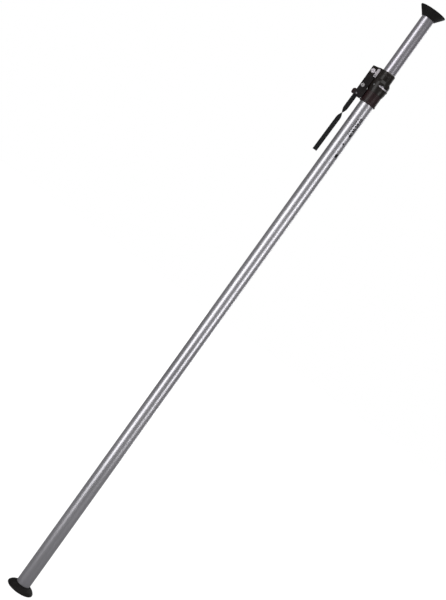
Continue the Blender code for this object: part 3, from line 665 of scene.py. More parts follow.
@dataclass(frozen=True)
class MouldedRubberFinish:
    """Matt moulded rubber: a fine grain, dust in its hollows and a paler bloom where it wears."""

    name: str
    tone: Colour = (0.0062, 0.0056, 0.0056)
    dust: Colour = (0.019, 0.017, 0.016)

    def make(self) -> bpy.types.Material:
        """Makes the material."""
        mix = Recipe(self.name, self.tone)
        grain = mix.noise(2600.0, 3.0)
        patches = mix.noise(70.0, 4.0)
        base = mix.tint(mix.ranged(patches, 0.0, 0.45, 0.42, 0.75), self.tone, self.dust)
        worn = mix.worn_edges(0.0008, 500.0)
        mix.colour(mix.over(mix.maths("MULTIPLY", worn, 0.5), base, self.dust))
        mix.roughness(mix.ranged(patches, 0.52, 0.72))
        mix.relief(grain, 0.35, 0.0001, 0.0004)
        mix.fixed(Specular_IOR_Level=0.15)
        return mix.material


@dataclass(frozen=True)
class PlatedSteelFinish:
    """Zinc-plated or turned steel: faint tool marks, cloudy plating and a duller tone in patches."""

    name: str
    tone: Colour = (0.66, 0.64, 0.655)
    dull: Colour = (0.40, 0.385, 0.40)
    polish: float = 0.26
    marks: Sequence[float] = (1.0, 0.04, 1.0)

    def make(self) -> bpy.types.Material:
        """Makes the material."""
        mix = Recipe(self.name, self.tone, 1.0)
        marks = mix.noise(1800.0, 3.0, self.marks)
        clouds = mix.noise(260.0, 3.0)
        mix.colour(mix.tint(mix.ranged(clouds, 0.0, 0.8, 0.4, 0.72), self.tone, self.dull))
        mix.roughness(mix.maths("ADD", mix.ranged(clouds, self.polish, self.polish + 0.12),
                                mix.ranged(marks, -0.04, 0.04)))
        mix.relief(marks, 0.12, 0.00002, 0.0003)
        return mix.material


@dataclass(frozen=True)
class NylonFinish:
    """Natural moulded nylon: off-white and faintly mottled, greyer where the tube rubs it."""

    name: str
    tone: Colour = (0.56, 0.54, 0.48)
    grey: Colour = (0.33, 0.32, 0.30)

    def make(self) -> bpy.types.Material:
        """Makes the material."""
        mix = Recipe(self.name, self.tone)
        patches = mix.noise(120.0, 3.0)
        mix.colour(mix.tint(mix.ranged(patches, 0.0, 0.6, 0.5, 0.8), self.tone, self.grey))
        mix.roughness(mix.ranged(patches, 0.42, 0.58))
        mix.relief(mix.noise(1500.0, 2.0), 0.12, 0.00006)
        mix.fixed(Subsurface_Weight=0.06, Subsurface_Scale=0.004)
        return mix.material


@dataclass(frozen=True)
class WebbingFinish:
    """Black woven webbing: ribs of weft across it, warp ends along it, and a firmer woven edge on each side."""

    name: str
    width: float
    tone: Colour = (0.0060, 0.0060, 0.0064)
    lit: Colour = (0.020, 0.020, 0.021)

    def make(self) -> bpy.types.Material:
        """Makes the material. Its map runs across the strap in metres and along it in metres."""
        mix = Recipe(self.name, self.tone)
        cloth = mix.node("ShaderNodeUVMap", uv_map="weave").outputs["UV"]
        split = mix.node("ShaderNodeSeparateXYZ")
        mix.link(cloth, split.inputs[0])
        side, along = split.outputs[0], split.outputs[1]
        slant = mix.maths("ADD", mix.maths("MULTIPLY", along, 2 * math.pi / 0.0011),
                          mix.maths("MULTIPLY", mix.maths("PINGPONG", side, 0.0035), 2 * math.pi / 0.0020))
        weft = mix.maths("SINE", slant, 0.0)
        warp = mix.maths("SINE", mix.maths("MULTIPLY", side, 2 * math.pi / 0.0010), 0.0)
        threads = mix.ranged(mix.maths("ADD", weft, mix.maths("MULTIPLY", warp, 0.6)), 0.0, 1.0, -1.5, 1.5)
        edge = mix.ranged(mix.maths("ABSOLUTE", side, 0.0), 0.0, 1.0, 0.40 * self.width, 0.44 * self.width)
        fuzz = mix.noise(900.0, 4.0)
        shade = mix.maths("MULTIPLY", threads, mix.ranged(fuzz, 0.5, 1.1))
        mix.colour(mix.tint(mix.maths("SUBTRACT", shade, mix.maths("MULTIPLY", edge, 0.25)), self.tone, self.lit))
        mix.roughness(mix.ranged(threads, 0.85, 0.62))
        mix.relief(mix.maths("ADD", threads, mix.maths("MULTIPLY", fuzz, 0.3)), 0.7, 0.00025)
        mix.fixed(Sheen_Weight=0.02, Sheen_Roughness=0.4, Specular_IOR_Level=0.12)
        return mix.material


@dataclass(frozen=True)
class InkFinish:
    """Grey marking ink, thin and a little patchy."""

    name: str
    tone: Colour = (0.010, 0.010, 0.012)
    thin: Colour = (0.030, 0.030, 0.034)

    def make(self) -> bpy.types.Material:
        """Makes the material."""
        mix = Recipe(self.name, self.tone)
        patches = mix.noise(1500.0, 3.0)
        mix.colour(mix.tint(mix.ranged(patches, 0.0, 0.7, 0.5, 0.75), self.tone, self.thin))
        mix.roughness(mix.ranged(patches, 0.55, 0.7))
        mix.relief(patches, 0.15, 0.00002)
        mix.fixed(Specular_IOR_Level=0.15)
        return mix.material


@dataclass(frozen=True)
class Finishes:
    """Every finish of the pole, made once."""

    tube: bpy.types.Material
    slide: bpy.types.Material
    casting: bpy.types.Material
    carriage: bpy.types.Material
    lever: bpy.types.Material
    rubber: bpy.types.Material
    steel: bpy.types.Material
    pin: bpy.types.Material
    dark_steel: bpy.types.Material
    nylon: bpy.types.Material
    webbing: bpy.types.Material
    ink: bpy.types.Material

    @classmethod
    def make(cls, strap_width: float) -> "Finishes":
        """Makes them all.

        Args:
            strap_width: The strap's width, for its weave.

        Returns:
            The set.
        """
        return cls(
            # The lower tube carries painted shade towards the floor.
            tube=DrawnTubeFinish("lower_tube_satin", painted_foot_shade=0.55).make(),
            slide=DrawnTubeFinish("upper_tube_satin", (0.58, 0.56, 0.61), 0.31).make(),
            casting=CoatedCastingFinish("collar_black", (0.0120, 0.0046, 0.0053), (0.044, 0.030, 0.030), 0.36).make(),
            carriage=CoatedCastingFinish("carriage_black", (0.0070, 0.0052, 0.0044), (0.042, 0.038, 0.036),
                                         0.28).make(),
            lever=CoatedCastingFinish("lever_black", (0.0056, 0.0042, 0.0045), (0.036, 0.033, 0.034), 0.30).make(),
            rubber=MouldedRubberFinish("black_rubber").make(),
            steel=PlatedSteelFinish("zinc_steel").make(),
            pin=PlatedSteelFinish("pin_steel", (0.88, 0.83, 0.88), (0.78, 0.73, 0.78), 0.38).make(),
            dark_steel=PlatedSteelFinish("spring_steel", (0.36, 0.36, 0.37), (0.22, 0.22, 0.23), 0.33).make(),
            nylon=NylonFinish("natural_nylon").make(),
            webbing=WebbingFinish("black_webbing", strap_width).make(),
            ink=InkFinish("scale_ink").make(),
        )


# Sub-assemblies


def aimed(bm: bmesh.types.BMesh, place: Vector, direction: Vector) -> bmesh.types.BMesh:
    """Turns a mesh that was made about Z to point another way, and moves it into place.

    Args:
        bm: The mesh.
        place: Where its origin goes.
        direction: Where its +Z goes.

    Returns:
        The same mesh.
    """
    turn = direction.to_track_quat("Z", "Y").to_matrix().to_4x4()
    bmesh.ops.transform(bm, matrix=Matrix.Translation(place) @ turn, verts=bm.verts)
    return bm


@dataclass
class PoleTubes:
    """The two drawn tubes, one sliding in the other."""

    finishes: Finishes
    outer_wall: float = 0.00125
    inner_wall: float = 0.0015
    lip: float = 0.0004
    sides: int = 192
    pin_hole: float = 0.0017

    def ring(self, node: str, wall: float) -> bmesh.types.BMesh:
        """Turns one tube from its CAD box.

        Args:
            node: The CAD tube.
            wall: Its wall.

        Returns:
            The tube's mesh, with small chamfers at its ends.
        """
        low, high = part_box(node)
        profile = [(high.x, high.z), (high.x, low.z), (high.x - wall, low.z), (high.x - wall, high.z)]
        return turned(profile, self.sides, self.lip)

    def build_lower(self) -> None:
        """Builds the lower tube, which stands in the foot and carries the collar."""
        tube = as_object("lower_tube", self.ring("outer_tube", self.outer_wall))
        settle(tube, self.finishes.tube, Body.BASE, ["outer_tube"])

    def build_upper(self) -> None:
        """Builds the upper tube, with the hole of its stop pin."""
        pin = middle("stop_pin")
        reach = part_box("outer_tube")[1].x
        hole = bar((0, -reach, pin.z), (0, reach, pin.z), self.pin_hole)
        tube = carved("upper_tube", self.ring("inner_tube", self.inner_wall), removed=[hole])
        settle(tube, self.finishes.slide, Body.INNER, ["inner_tube"])

    def build(self) -> None:
        """Builds both tubes."""
        self.build_lower()
        self.build_upper()


@dataclass
class TubeScale:
    """A plain printed scale on the lower tube under the lock: ticks, numerals turned along the tube, two dots."""

    finishes: Finishes
    top: float = 1.716
    pitch: float = 0.0085
    ticks: int = 7
    angle: float = 27.0  # from -Y towards +X, in degrees
    film: float = 0.00006
    digit_size: float = 0.0140

    def patch(self, centre: float, across_tube: float, tall: float, height: float) -> bmesh.types.BMesh:
        """A printed bar that lies round the tube.

        Args:
            centre: Its middle, as a distance round the tube from -Y.
            across_tube: Its size round the tube.
            tall: Its size along the tube.
            height: Its middle's height.

        Returns:
            The bar's mesh, still flat.
        """
        bm = bmesh.new()
        bmesh.ops.create_grid(bm, x_segments=8, y_segments=1, size=0.5)
        bmesh.ops.scale(bm, vec=(across_tube, tall, 1), verts=bm.verts)
        bmesh.ops.rotate(bm, cent=(0, 0, 0), matrix=Matrix.Rotation(math.radians(90), 3, "X"), verts=bm.verts)
        bmesh.ops.translate(bm, vec=(centre, -self.film, height), verts=bm.verts)
        grown = bmesh.ops.extrude_face_region(bm, geom=bm.faces[:])["geom"]
        bmesh.ops.translate(bm, verts=[v for v in grown if isinstance(v, bmesh.types.BMVert)],
                            vec=(0, self.film * 0.7, 0))
        bmesh.ops.recalc_face_normals(bm, faces=bm.faces)
        return bm

    def numeral(self, text: str, centre: float, height: float) -> bmesh.types.BMesh:
        """A printed numeral that reads along the tube.

        Args:
            text: The numeral.
            centre: Its middle, as a distance round the tube from -Y.
            height: Its middle's height.

        Returns:
            The numeral's mesh, still flat.
        """
        curve = bpy.data.curves.new("numeral", "FONT")
        curve.body, curve.size, curve.extrude = text, self.digit_size, self.film * 0.35
        curve.align_x, curve.align_y, curve.resolution_u = "CENTER", "CENTER", 3
        curve.offset = 0.0006
        letter = bpy.data.objects.new("numeral", curve)
        bpy.context.scene.collection.objects.link(letter)
        bpy.context.view_layer.update()
        mesh = bpy.data.meshes.new_from_object(letter.evaluated_get(bpy.context.evaluated_depsgraph_get()))
        bm = bmesh.new()
        bm.from_mesh(mesh)
        bpy.data.objects.remove(letter)
        bpy.data.curves.remove(curve)
        bpy.data.meshes.remove(mesh)
        bmesh.ops.remove_doubles(bm, verts=bm.verts, dist=1e-7)
        upright = Matrix.Rotation(math.radians(-90), 4, "Y") @ Matrix.Rotation(math.radians(90), 4, "X")
        bmesh.ops.transform(bm, matrix=upright, verts=bm.verts)
        for cut in range(-3, 4):
            parts = bm.verts[:] + bm.edges[:] + bm.faces[:]
            bmesh.ops.bisect_plane(bm, geom=parts, plane_co=(cut * self.digit_size / 8, 0, 0), plane_no=(1, 0, 0))
        bmesh.ops.translate(bm, vec=(centre, -self.film * 0.65, height), verts=bm.verts)
        return bm

    def build(self) -> None:
        """Builds the scale as one thin print."""
        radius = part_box("outer_tube")[1].x
        centre = math.radians(self.angle) * radius
        parts = []
        for i in range(self.ticks):
            long_tick = i % 2 == 0
            reach = 0.0042 if long_tick else 0.0028
            parts.append(self.patch(centre - 0.0060 + reach / 2, reach, 0.0020, self.top - i * self.pitch))
            if long_tick:
                parts.append(self.numeral(str(10 + 5 * i), centre + 0.0054, self.top - i * self.pitch))
        length = self.pitch * (self.ticks - 1)
        parts.append(self.patch(centre - 0.0060, 0.0014, length, self.top - length / 2))
        parts.append(self.patch(centre + 0.0022, 0.0050, 0.0052, self.top - 0.084))
        parts.append(self.patch(centre + 0.0068, 0.0102, 0.0112, self.top - 0.123))
        print_mesh = bmesh.new()
        for part in parts:
            spare = bpy.data.meshes.new("part")
            wrapped(part, radius)
            part.to_mesh(spare)
            part.free()
            print_mesh.from_mesh(spare)
            bpy.data.meshes.remove(spare)
        settle(as_object("tube_scale", print_mesh), self.finishes.ink, Body.BASE)


@dataclass
class FloorFoot:
    """The rubber foot: a low dome with a stepped skirt, a socket for the tube and a ringed sole."""

    finishes: Finishes
    web: float = 0.0074
    socket: float = 0.0228
    stud_hole: float = 0.0043
    stud_room: float = 0.0093
    stud_base: float = 0.0022
    stud_roof: float = 0.0046

    def profile(self) -> list[Point]:
        """The foot's section, from the sole's middle round to the stud's room."""
        _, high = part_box("floor_foot")
        rim, top = high.x, high.z
        collar = self.socket + 0.0027
        sole = [(0.0, 0.0), (0.0120, 0.0), (0.0135, 0.0014), (0.0180, 0.0014), (0.0186, 0.0006), (0.0204, 0.0006),
                (0.0210, 0.0014), (0.0260, 0.0014), (0.0266, 0.0006), (0.0284, 0.0006), (0.0290, 0.0014),
                (rim - 0.0070, 0.0014), (rim - 0.0055, 0.0)]
        dome = [(rim - 0.0009, 0.0), (rim, 0.0009), (rim, 0.0042), (rim - 0.0010, 0.0053), (rim - 0.0016, 0.0059),
                (rim - 0.0030, 0.0080), (rim - 0.0055, 0.0103), (rim - 0.0090, 0.0125), (rim - 0.0125, 0.0145),
                (collar + 0.0026, 0.0158), (collar + 0.0006, 0.0168), (collar, top)]
        inside = [(self.socket, top), (self.socket, self.web), (self.stud_hole, self.web),
                  (self.stud_hole, self.stud_roof), (self.stud_room, self.stud_roof),
                  (self.stud_room, self.stud_base), (0.0, self.stud_base)]
        return sole + dome + inside

    def build(self) -> None:
        """Builds the foot and dresses the pieces moulded in it."""
        foot = as_object("rubber_foot", turned(self.profile(), FINE, 0.00035, closed=False))
        settle(foot, self.finishes.rubber, Body.BASE, ["floor_foot"], 40)
        dress("foot_stud", self.finishes.steel)
        dress("foot_plug", self.finishes.nylon)


@dataclass
class CeilingCup:
    """The rubber cup: a straight cone under a rim with shallow notches, and a ringed, hollow face."""

    finishes: Finishes
    collar: float = 0.0026
    rim_width: float = 0.0035
    notches: int = 40
    notch_depth: float = 0.0009
    sides: int = 160

    def profile(self) -> list[Point]:
        """The cup's section, from the middle of its pad round to the stud's room."""
        low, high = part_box("ceiling_cup")
        tube, plug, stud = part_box("inner_tube")[1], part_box("cup_plug")[1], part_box("cup_stud")[1]
        socket, web = tube.x + GAP, plug.z + GAP
        pad = web + 0.0061
        edge = high.x - self.rim_width
        face = [(0.0, pad), (0.0062, pad), (0.0066, pad + 0.0007), (0.0078, pad + 0.0007), (0.0082, pad),
                (0.0142, pad), (0.0146, pad + 0.0007), (0.0158, pad + 0.0007), (0.0162, pad),
                (edge - 0.0110, pad), (edge, high.z), (high.x, high.z), (high.x, high.z - 0.0025)]
        outside = [(high.x - 0.0006, high.z - 0.0033), (socket + self.collar + 0.0022, low.z + 0.0036),
                   (socket + self.collar + 0.0006, low.z + 0.0018), (socket + self.collar, low.z)]
        room = stud.x + GAP
        inside = [(socket, low.z), (socket, web), (0.0043, web), (0.0043, web + 0.0024), (room, web + 0.0024),
                  (room, stud.z + GAP), (0.0, stud.z + GAP)]
        return face + outside + inside

    def notch(self, bm: bmesh.types.BMesh) -> None:
        """Lowers every other stretch of the rim's outer edge.

        Args:
            bm: The cup's mesh.
        """
        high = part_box("ceiling_cup")[1]
        step = 2 * math.pi / self.notches
        lowered = [
            vert for vert in bm.verts
            if vert.co.z > high.z - 0.0001 and vert.co.xy.length > high.x - 0.0018
            and (math.atan2(vert.co.y, vert.co.x) / step) % 1.0 < 0.45
        ]
        bmesh.ops.translate(bm, verts=lowered, vec=(0, 0, -self.notch_depth))

    def build(self) -> None:
        """Builds the cup and dresses the pieces moulded in it."""
        shape = turned(self.profile(), self.sides, 0.0003, closed=False)
        self.notch(shape)
        settle(as_object("rubber_cup", shape), self.finishes.rubber, Body.INNER, ["ceiling_cup"], 40)
        dress("cup_stud", self.finishes.steel)
        dress("cup_plug", self.finishes.nylon)


@dataclass
class TubeGuides:
    """The pieces between the two tubes, which show only where the tubes are drawn apart."""

    finishes: Finishes

    def build(self) -> None:
        """Dresses the guides and the stop."""
        for node in ("guide_bush_upper", "guide_bush_lower", "stop_ring"):
            dress(node, self.finishes.nylon)
        dress("stop_pin", self.finishes.steel)


@dataclass
class PanScrew:
    """A small pan-head screw with a cross recess."""

    node: str
    body: Body
    head: float = 0.00275
    shank: float = 0.0015
    rise: float = 0.0012

    def build(self, finish: bpy.types.Material, seat: Vector, outward: Vector, depth: float) -> None:
        """Builds the screw.

        Args:
            finish: Its material.
            seat: Where its head's underside sits.
            outward: Where its head points.
            depth: How far its shank runs in.
        """
        profile = [(0.0, self.rise), (self.head * 0.7, self.rise), (self.head, self.rise * 0.45), (self.head, 0.0),
                   (self.shank, 0.0), (self.shank, -depth), (0.0, -depth)]
        shape = aimed(turned(profile, 36, 0.00015, closed=False), seat, outward)
        arm, width, low = self.head * 0.62, 0.00032, self.rise * 0.35
        recess = [aimed(block((-a, -b, low), (a, b, self.rise + 0.001)), seat, outward)
                  for a, b in ((arm, width), (width, arm))]
        screw = carved(f"{self.node}_head", shape, removed=recess)
        settle(screw, finish, self.body, [self.node])


@dataclass
class Lock:
    """Places that the lock's pieces share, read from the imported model."""

    pivot: Vector = field(default_factory=lambda: middle("lever_pin"))
    catch: Vector = field(default_factory=lambda: middle("catch_pin"))
    strap: Vector = field(default_factory=lambda: middle("strap_rivet"))
    tube: Vector = field(default_factory=lambda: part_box("outer_tube")[1])
    slide: Vector = field(default_factory=lambda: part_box("inner_tube")[1])
    pad: Vector = field(default_factory=lambda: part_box("cam_pad")[1])
    skirt_wall: float = 0.0029
    collar_wall: float = 0.0024
    cheek: float = 0.0037
    half_width: float = 0.0140
    lift: float = 0.0080

    @property
    def collar_radius(self) -> float:
        """The collar's outer radius."""
        return self.tube.x + GAP + self.collar_wall

    @property
    def skirt_bore(self) -> float:
        """The carriage skirt's inner radius."""
        return self.collar_radius + GAP

    @property
    def skirt_radius(self) -> float:
        """The carriage skirt's outer radius."""
        return self.skirt_bore + self.skirt_wall

    @property
    def bore(self) -> float:
        """The carriage's inner radius round the upper tube."""
        return self.slide.x + 0.0006


@dataclass
class LockCollar:
    """The casting clamped round the lower tube's end, with the post that the lever's cam bears on."""

    finishes: Finishes
    lock: Lock
    flange: float = 0.0015
    flange_height: float = 0.0050
    post_half: float = 0.0070
    fillet: float = 0.0005

    def body(self) -> bmesh.types.BMesh:
        """The collar's turned body, before its bore."""
        low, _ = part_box("lock_collar")
        top = self.lock.tube.z + 0.0080
        radius, flange_top = self.lock.collar_radius, low.z + self.flange_height
        return turned([(0.0, top), (radius - 0.0006, top), (radius, top - 0.0008), (radius, flange_top + 0.0003),
                       (radius + self.flange, flange_top - 0.0009), (radius + self.flange, low.z), (0.0, low.z)],
                      FINE, self.fillet, closed=False)

    def post(self) -> bmesh.types.BMesh:
        """The post, from its foot in the collar's wall up to the cam's pad."""
        lock = self.lock
        root, clear = -(lock.collar_radius - lock.collar_wall / 2), -lock.skirt_radius - 0.0008
        under = lock.tube.z - lock.lift - 0.0008
        inner, overhang = lock.catch.x + 0.0061, lock.pivot.x - 0.0053
        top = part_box("cam_pad")[0].z - GAP
        outline = [(root, under - 0.0127), (root - 0.0060, under - 0.0127), (root - 0.0090, under - 0.0090),
                   (root - 0.0090, under - 0.0052), (inner, under - 0.0007), (inner, lock.catch.z + 0.0135),
                   (overhang, top - 0.0080), (overhang, top), (clear - 0.0018, top), (clear, top - 0.0040),
                   (clear, under + 0.0003), (root, under)]
        return slab(outline, -self.post_half, self.post_half, 0.0006)

    def bore(self) -> bmesh.types.BMesh:
        """The room for the tube, its bush and the upper tube."""
        low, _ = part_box("lock_collar")
        seat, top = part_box("guide_bush_upper")[1].z + GAP, self.lock.tube.z + 0.0180
        wide = self.lock.tube.x + GAP
        return turned([(0.0, low.z - 0.01), (wide, low.z - 0.01), (wide, seat), (self.lock.bore, seat),
                       (self.lock.bore, top), (0.0, top)], FINE, closed=False)

    def build(self) -> None:
        """Builds the collar, its two set screws and the cam's pad."""
        lock = self.lock
        nose = block((lock.catch.x + 0.0052, -0.0046, lock.catch.z - 0.0045),
                     (lock.catch.x + 0.0095, 0.0046, lock.catch.z + 0.0060))
        removed = [self.bore(), nose]
        screws = []
        for node, angle in (("collar_screw_1", 150.0), ("collar_screw_2", 210.0)):
            height = middle(node).z
            removed.append(bar(sweep_angle(angle, lock.tube.x - 0.001, height),
                               sweep_angle(angle, lock.collar_radius + 0.004, height), 0.0018, 32))
            screws.append((node, sweep_angle(angle, lock.collar_radius + GAP, height), sweep_angle(angle, 1.0, 0.0)))
        collar = carved("collar_casting", self.body(), [self.post()], removed)
        settle(collar, self.finishes.casting, Body.BASE, ["lock_collar"])
        for node, seat, outward in screws:
            PanScrew(node, Body.BASE).build(self.finishes.dark_steel, seat, outward, 0.0020)
        low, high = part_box("cam_pad")
        pad = as_object("cam_pad_plate", block(low, high, 0.00025))
        settle(pad, self.finishes.steel, Body.BASE, ["cam_pad"])


@dataclass
class BrakeCarriage:
    """The casting on the upper tube: skirt, shoulder, neck and the two ears that carry the lever's pin."""

    finishes: Finishes
    lock: Lock
    skirt_height: float = 0.0355
    taper: float = 0.0110
    shoulder: float = 0.0090
    ear_arc: float = 0.0145
    lever_out: float = 0.0083
    fillet: float = 0.0006

    def __post_init__(self) -> None:
        """Works out the heights that its methods share."""
        self.base = self.lock.tube.z
        self.skirt_top = self.base + self.skirt_height
        self.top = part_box("brake_carriage")[1].z
        self.neck = self.lock.bore + 0.0025

    def body(self) -> bmesh.types.BMesh:
        """The turned skirt, shoulder and neck, before the hollow."""
        skirt = self.lock.skirt_radius
        bead = self.top - 0.0105
        return turned([(0.0, self.top), (self.neck - 0.0006, self.top), (self.neck, self.top - 0.0007),
                       (self.neck, bead), (self.neck - 0.0005, bead - 0.0004), (self.neck - 0.0005, bead - 0.0012),
                       (self.neck, bead - 0.0016), (self.neck, self.skirt_top + self.shoulder),
                       (skirt, self.skirt_top), (skirt, self.base + self.taper), (skirt - 0.0020, self.base),
                       (0.0, self.base)], FINE, self.fillet, closed=False)

    def ear(self, low: float, high: float) -> bmesh.types.BMesh:
        """One ear, from the neck out to the lever's pin.

        Args:
            low: Its near face, along Y.
            high: Its far face.

        Returns:
            The ear's mesh.
        """
        x, z = self.lock.pivot.x, self.lock.pivot.z
        outer = x - self.lever_out
        reach = math.degrees(math.asin(self.lever_out / self.ear_arc))
        outline = [(-self.neck + 0.010, z - self.ear_arc), *arc((x, z), self.ear_arc, -90, -90 - reach, 10),
                   (outer, z + 0.0120), (outer + 0.0015, z + 0.0142), (-self.neck - 0.0130, self.top - 0.0042),
                   (-self.neck - 0.0040, self.top - 0.0012), (-self.neck + 0.010, self.top - 0.0008)]
        return slab(outline, low, high, 0.0007)

    def hollow(self) -> bmesh.types.BMesh:
        """The room for the collar, the brake and the upper tube, and the wiper's seat."""
        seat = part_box("neck_wiper")[0].z - GAP
        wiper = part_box("neck_wiper")[1].x + GAP
        roof = self.skirt_top - 0.0010
        return turned([(0.0, self.base - 0.01), (self.lock.skirt_bore, self.base - 0.01),
                       (self.lock.skirt_bore, roof), (self.lock.bore, roof), (self.lock.bore, seat), (wiper, seat),
                       (wiper, self.top + 0.01), (0.0, self.top + 0.01)], FINE, closed=False)

    def slot(self) -> bmesh.types.BMesh:
        """The slot that the brake plate's tab shows in."""
        skirt = self.lock.skirt_radius
        return wedge(self.lock.skirt_bore - 0.004, skirt + 0.004, -6.0, 60.0, 1.8274, 1.83475)

    def build(self) -> None:
        """Builds the carriage and everything fixed to it."""
        lock = self.lock
        half, inner = lock.half_width, lock.half_width - lock.cheek
        removed = [self.hollow(), self.slot(), across(lock.pivot, 0.0043, -0.02, 0.02)]
        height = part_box("brake_retainer")[0].z + 0.0020
        screws = []
        for node, angle in (("retainer_screw_1", -37.0), ("retainer_screw_2", 83.0), ("retainer_screw_3", 203.0)):
            removed.append(bar(sweep_angle(angle, lock.skirt_bore - 0.004, height),
                               sweep_angle(angle, lock.skirt_radius + 0.004, height), 0.0018, 32))
            screws.append((node, sweep_angle(angle, lock.skirt_radius + GAP, height), sweep_angle(angle, 1.0, 0.0)))
        plate_screw = Vector((middle("lock_plate_screw").x, 0.0, middle("lock_plate_screw").z))
        removed.append(across(plate_screw, 0.0018, -half - 0.002, -half + 0.0029, 32))
        carriage = carved("carriage_casting", self.body(), [self.ear(-half, -inner), self.ear(inner, half)], removed)
        settle(carriage, self.finishes.carriage, Body.CARRIAGE, ["brake_carriage"])
        for node, seat, outward in screws:
            PanScrew(node, Body.CARRIAGE).build(self.finishes.dark_steel, seat, outward, 0.0045)
        low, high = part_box("neck_wiper")
        wiper = turned([(high.x, high.z), (high.x, low.z), (high.x - 0.0014, low.z), (high.x - 0.0014, high.z)],
                       FINE, 0.0002)
        settle(as_object("neck_wiper_ring", wiper), self.finishes.nylon, Body.CARRIAGE, ["neck_wiper"])
        dress("brake_retainer", self.finishes.casting)
        dress("brake_spring", self.finishes.dark_steel)
        self.build_plate(plate_screw)

    def build_plate(self, screw: Vector) -> None:
        """Builds the bright plate that keeps the lever's pin from turning, and its screw.

        Args:
            screw: A point on the screw's axis.
        """
        low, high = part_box("pin_lock_plate")
        z, right = self.lock.pivot.z, high.x
        left = right - 0.0080
        outline = [(left, low.z), (right, low.z), (right, high.z - 0.0015), (right - 0.0020, high.z),
                   (left + 0.0015, high.z), (left, high.z - 0.0015), (left, z + 0.0022), (low.x, z + 0.0018),
                   (low.x, z - 0.0018), (left, z - 0.0022)]
        hole = across(screw, 0.0018, low.y - 0.001, high.y + 0.001, 32)
        plate = carved("pin_keeper", slab(outline, low.y, high.y, 0.0002), removed=[hole])
        settle(plate, self.finishes.pin, Body.CARRIAGE, ["pin_lock_plate"])
        seat = Vector((screw.x, low.y - GAP, screw.z))
        PanScrew("lock_plate_screw", Body.CARRIAGE).build(self.finishes.dark_steel, seat, Vector((0, -1, 0)), 0.0043)


@dataclass
class BrakePlate:
    """The steel plate that tilts and jams on the upper tube, with the bright tab that shows in the slot."""

    finishes: Finishes
    lock: Lock
    tilt: float = 3.0
    angle: float = 27.0
    thickness: float = 0.0035
    tab_half: float = 31.0
    proud: float = 0.0012

    def build(self) -> None:
        """Builds the plate flat, then tilts it about the line it rocks on."""
        half = self.thickness / 2
        disc = bar((0, 0, -half), (0, 0, half), self.lock.skirt_bore - 0.0006, FINE, 0.0002)
        tab = wedge(self.lock.slide.x, self.lock.skirt_radius + self.proud, self.angle - self.tab_half,
                    self.angle + self.tab_half, -half, half, 24, 0.0003)
        bore = bar((0, 0, -0.01), (0, 0, 0.01), self.lock.slide.x + 0.0005, FINE)
        plate = carved("brake_jaw", disc, [tab], [bore])
        pivot = -(self.lock.slide.x + 0.0020) * sweep_angle(self.angle, 1.0, 0.0)
        turn = math.radians(self.angle)
        axis = Vector((math.cos(turn), math.sin(turn), 0.0))
        place = Matrix.Translation(pivot + Vector((0, 0, self.lock.tube.z + 0.0265)))
        place = place @ Matrix.Rotation(math.radians(self.tilt), 4, axis) @ Matrix.Translation(-pivot)
        plate.data.transform(place)
        settle(plate, self.finishes.pin, Body.BRAKE, ["brake_plate"])


@dataclass
class LeverPins:
    """The pins that the lever and the catch turn on, with what holds them, and the strap's rivet."""

    finishes: Finishes
    lock: Lock

    def pin(self, name: str, node: str, place: Vector, radii: Sequence[float], head: float,
            body: Body, finish: bpy.types.Material) -> None:
        """Builds a pin whose turned head faces -Y, with a shallow ring in it.

        Args:
            name: The piece's name.
            node: The CAD pin it stands for.
            place: A point on its axis.
            radii: The head's radius and the shank's.
            head: The head's thickness.
            body: The body it moves with.
            finish: Its material.
        """
        low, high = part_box(node)
        wide, thin = radii
        near = low.y + head
        profile = [(0.0, head - 0.0005), (wide * 0.45, head - 0.0005), (wide * 0.55, head), (wide - 0.0007, head),
                   (wide, head - 0.0007), (wide, 0.0), (thin, 0.0), (thin, -(high.y - near)),
                   (0.0, -(high.y - near))]
        shape = aimed(turned(profile, SMALL, 0.0002, closed=False), Vector((place.x, near, place.z)),
                      Vector((0, -1, 0)))
        settle(as_object(name, shape), finish, body, [node])

    def build(self) -> None:
        """Builds the pins, the nut, the clip and the rivet."""
        lock = self.lock
        self.pin("pivot_pin", "lever_pin", lock.pivot, (0.0070, 0.0040), 0.0027, Body.CARRIAGE, self.finishes.pin)
        self.pin("catch_pivot_pin", "catch_pin", lock.catch, (0.0060, 0.0022), 0.0017, Body.LEVER,
                 self.finishes.steel)
        low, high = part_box("lever_pin_nut")
        nut = across(lock.pivot, 0.0065, low.y, high.y, 6, 0.0004)
        bore = across(lock.pivot, 0.0043, low.y - 0.002, high.y + 0.002)
        settle(carved("pivot_nut", nut, removed=[bore]), self.finishes.steel, Body.CARRIAGE,
               ["lever_pin_nut"])
        low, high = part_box("catch_pin_clip")
        clip = across(lock.catch, 0.0044, low.y, high.y, SMALL, 0.0001)
        gap = block((lock.catch.x - 0.0011, low.y - 0.001, lock.catch.z - 0.0050),
                    (lock.catch.x + 0.0011, high.y + 0.001, lock.catch.z))
        hole = across(lock.catch, 0.0025, low.y - 0.001, high.y + 0.001)
        settle(carved("catch_clip", clip, removed=[hole, gap]), self.finishes.dark_steel, Body.LEVER,
               ["catch_pin_clip"])
        dress("catch_spring", self.finishes.dark_steel)
        low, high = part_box("strap_rivet")
        shank = across(lock.strap, 0.0012, low.y + 0.0005, high.y - 0.0005)
        heads = [across(lock.strap, 0.0024, low.y, low.y + 0.0009, SMALL, 0.0003),
                 across(lock.strap, 0.0024, high.y - 0.0009, high.y, SMALL, 0.0003)]
        settle(carved("strap_pin", shank, heads), self.finishes.steel, Body.LEVER, ["strap_rivet"])


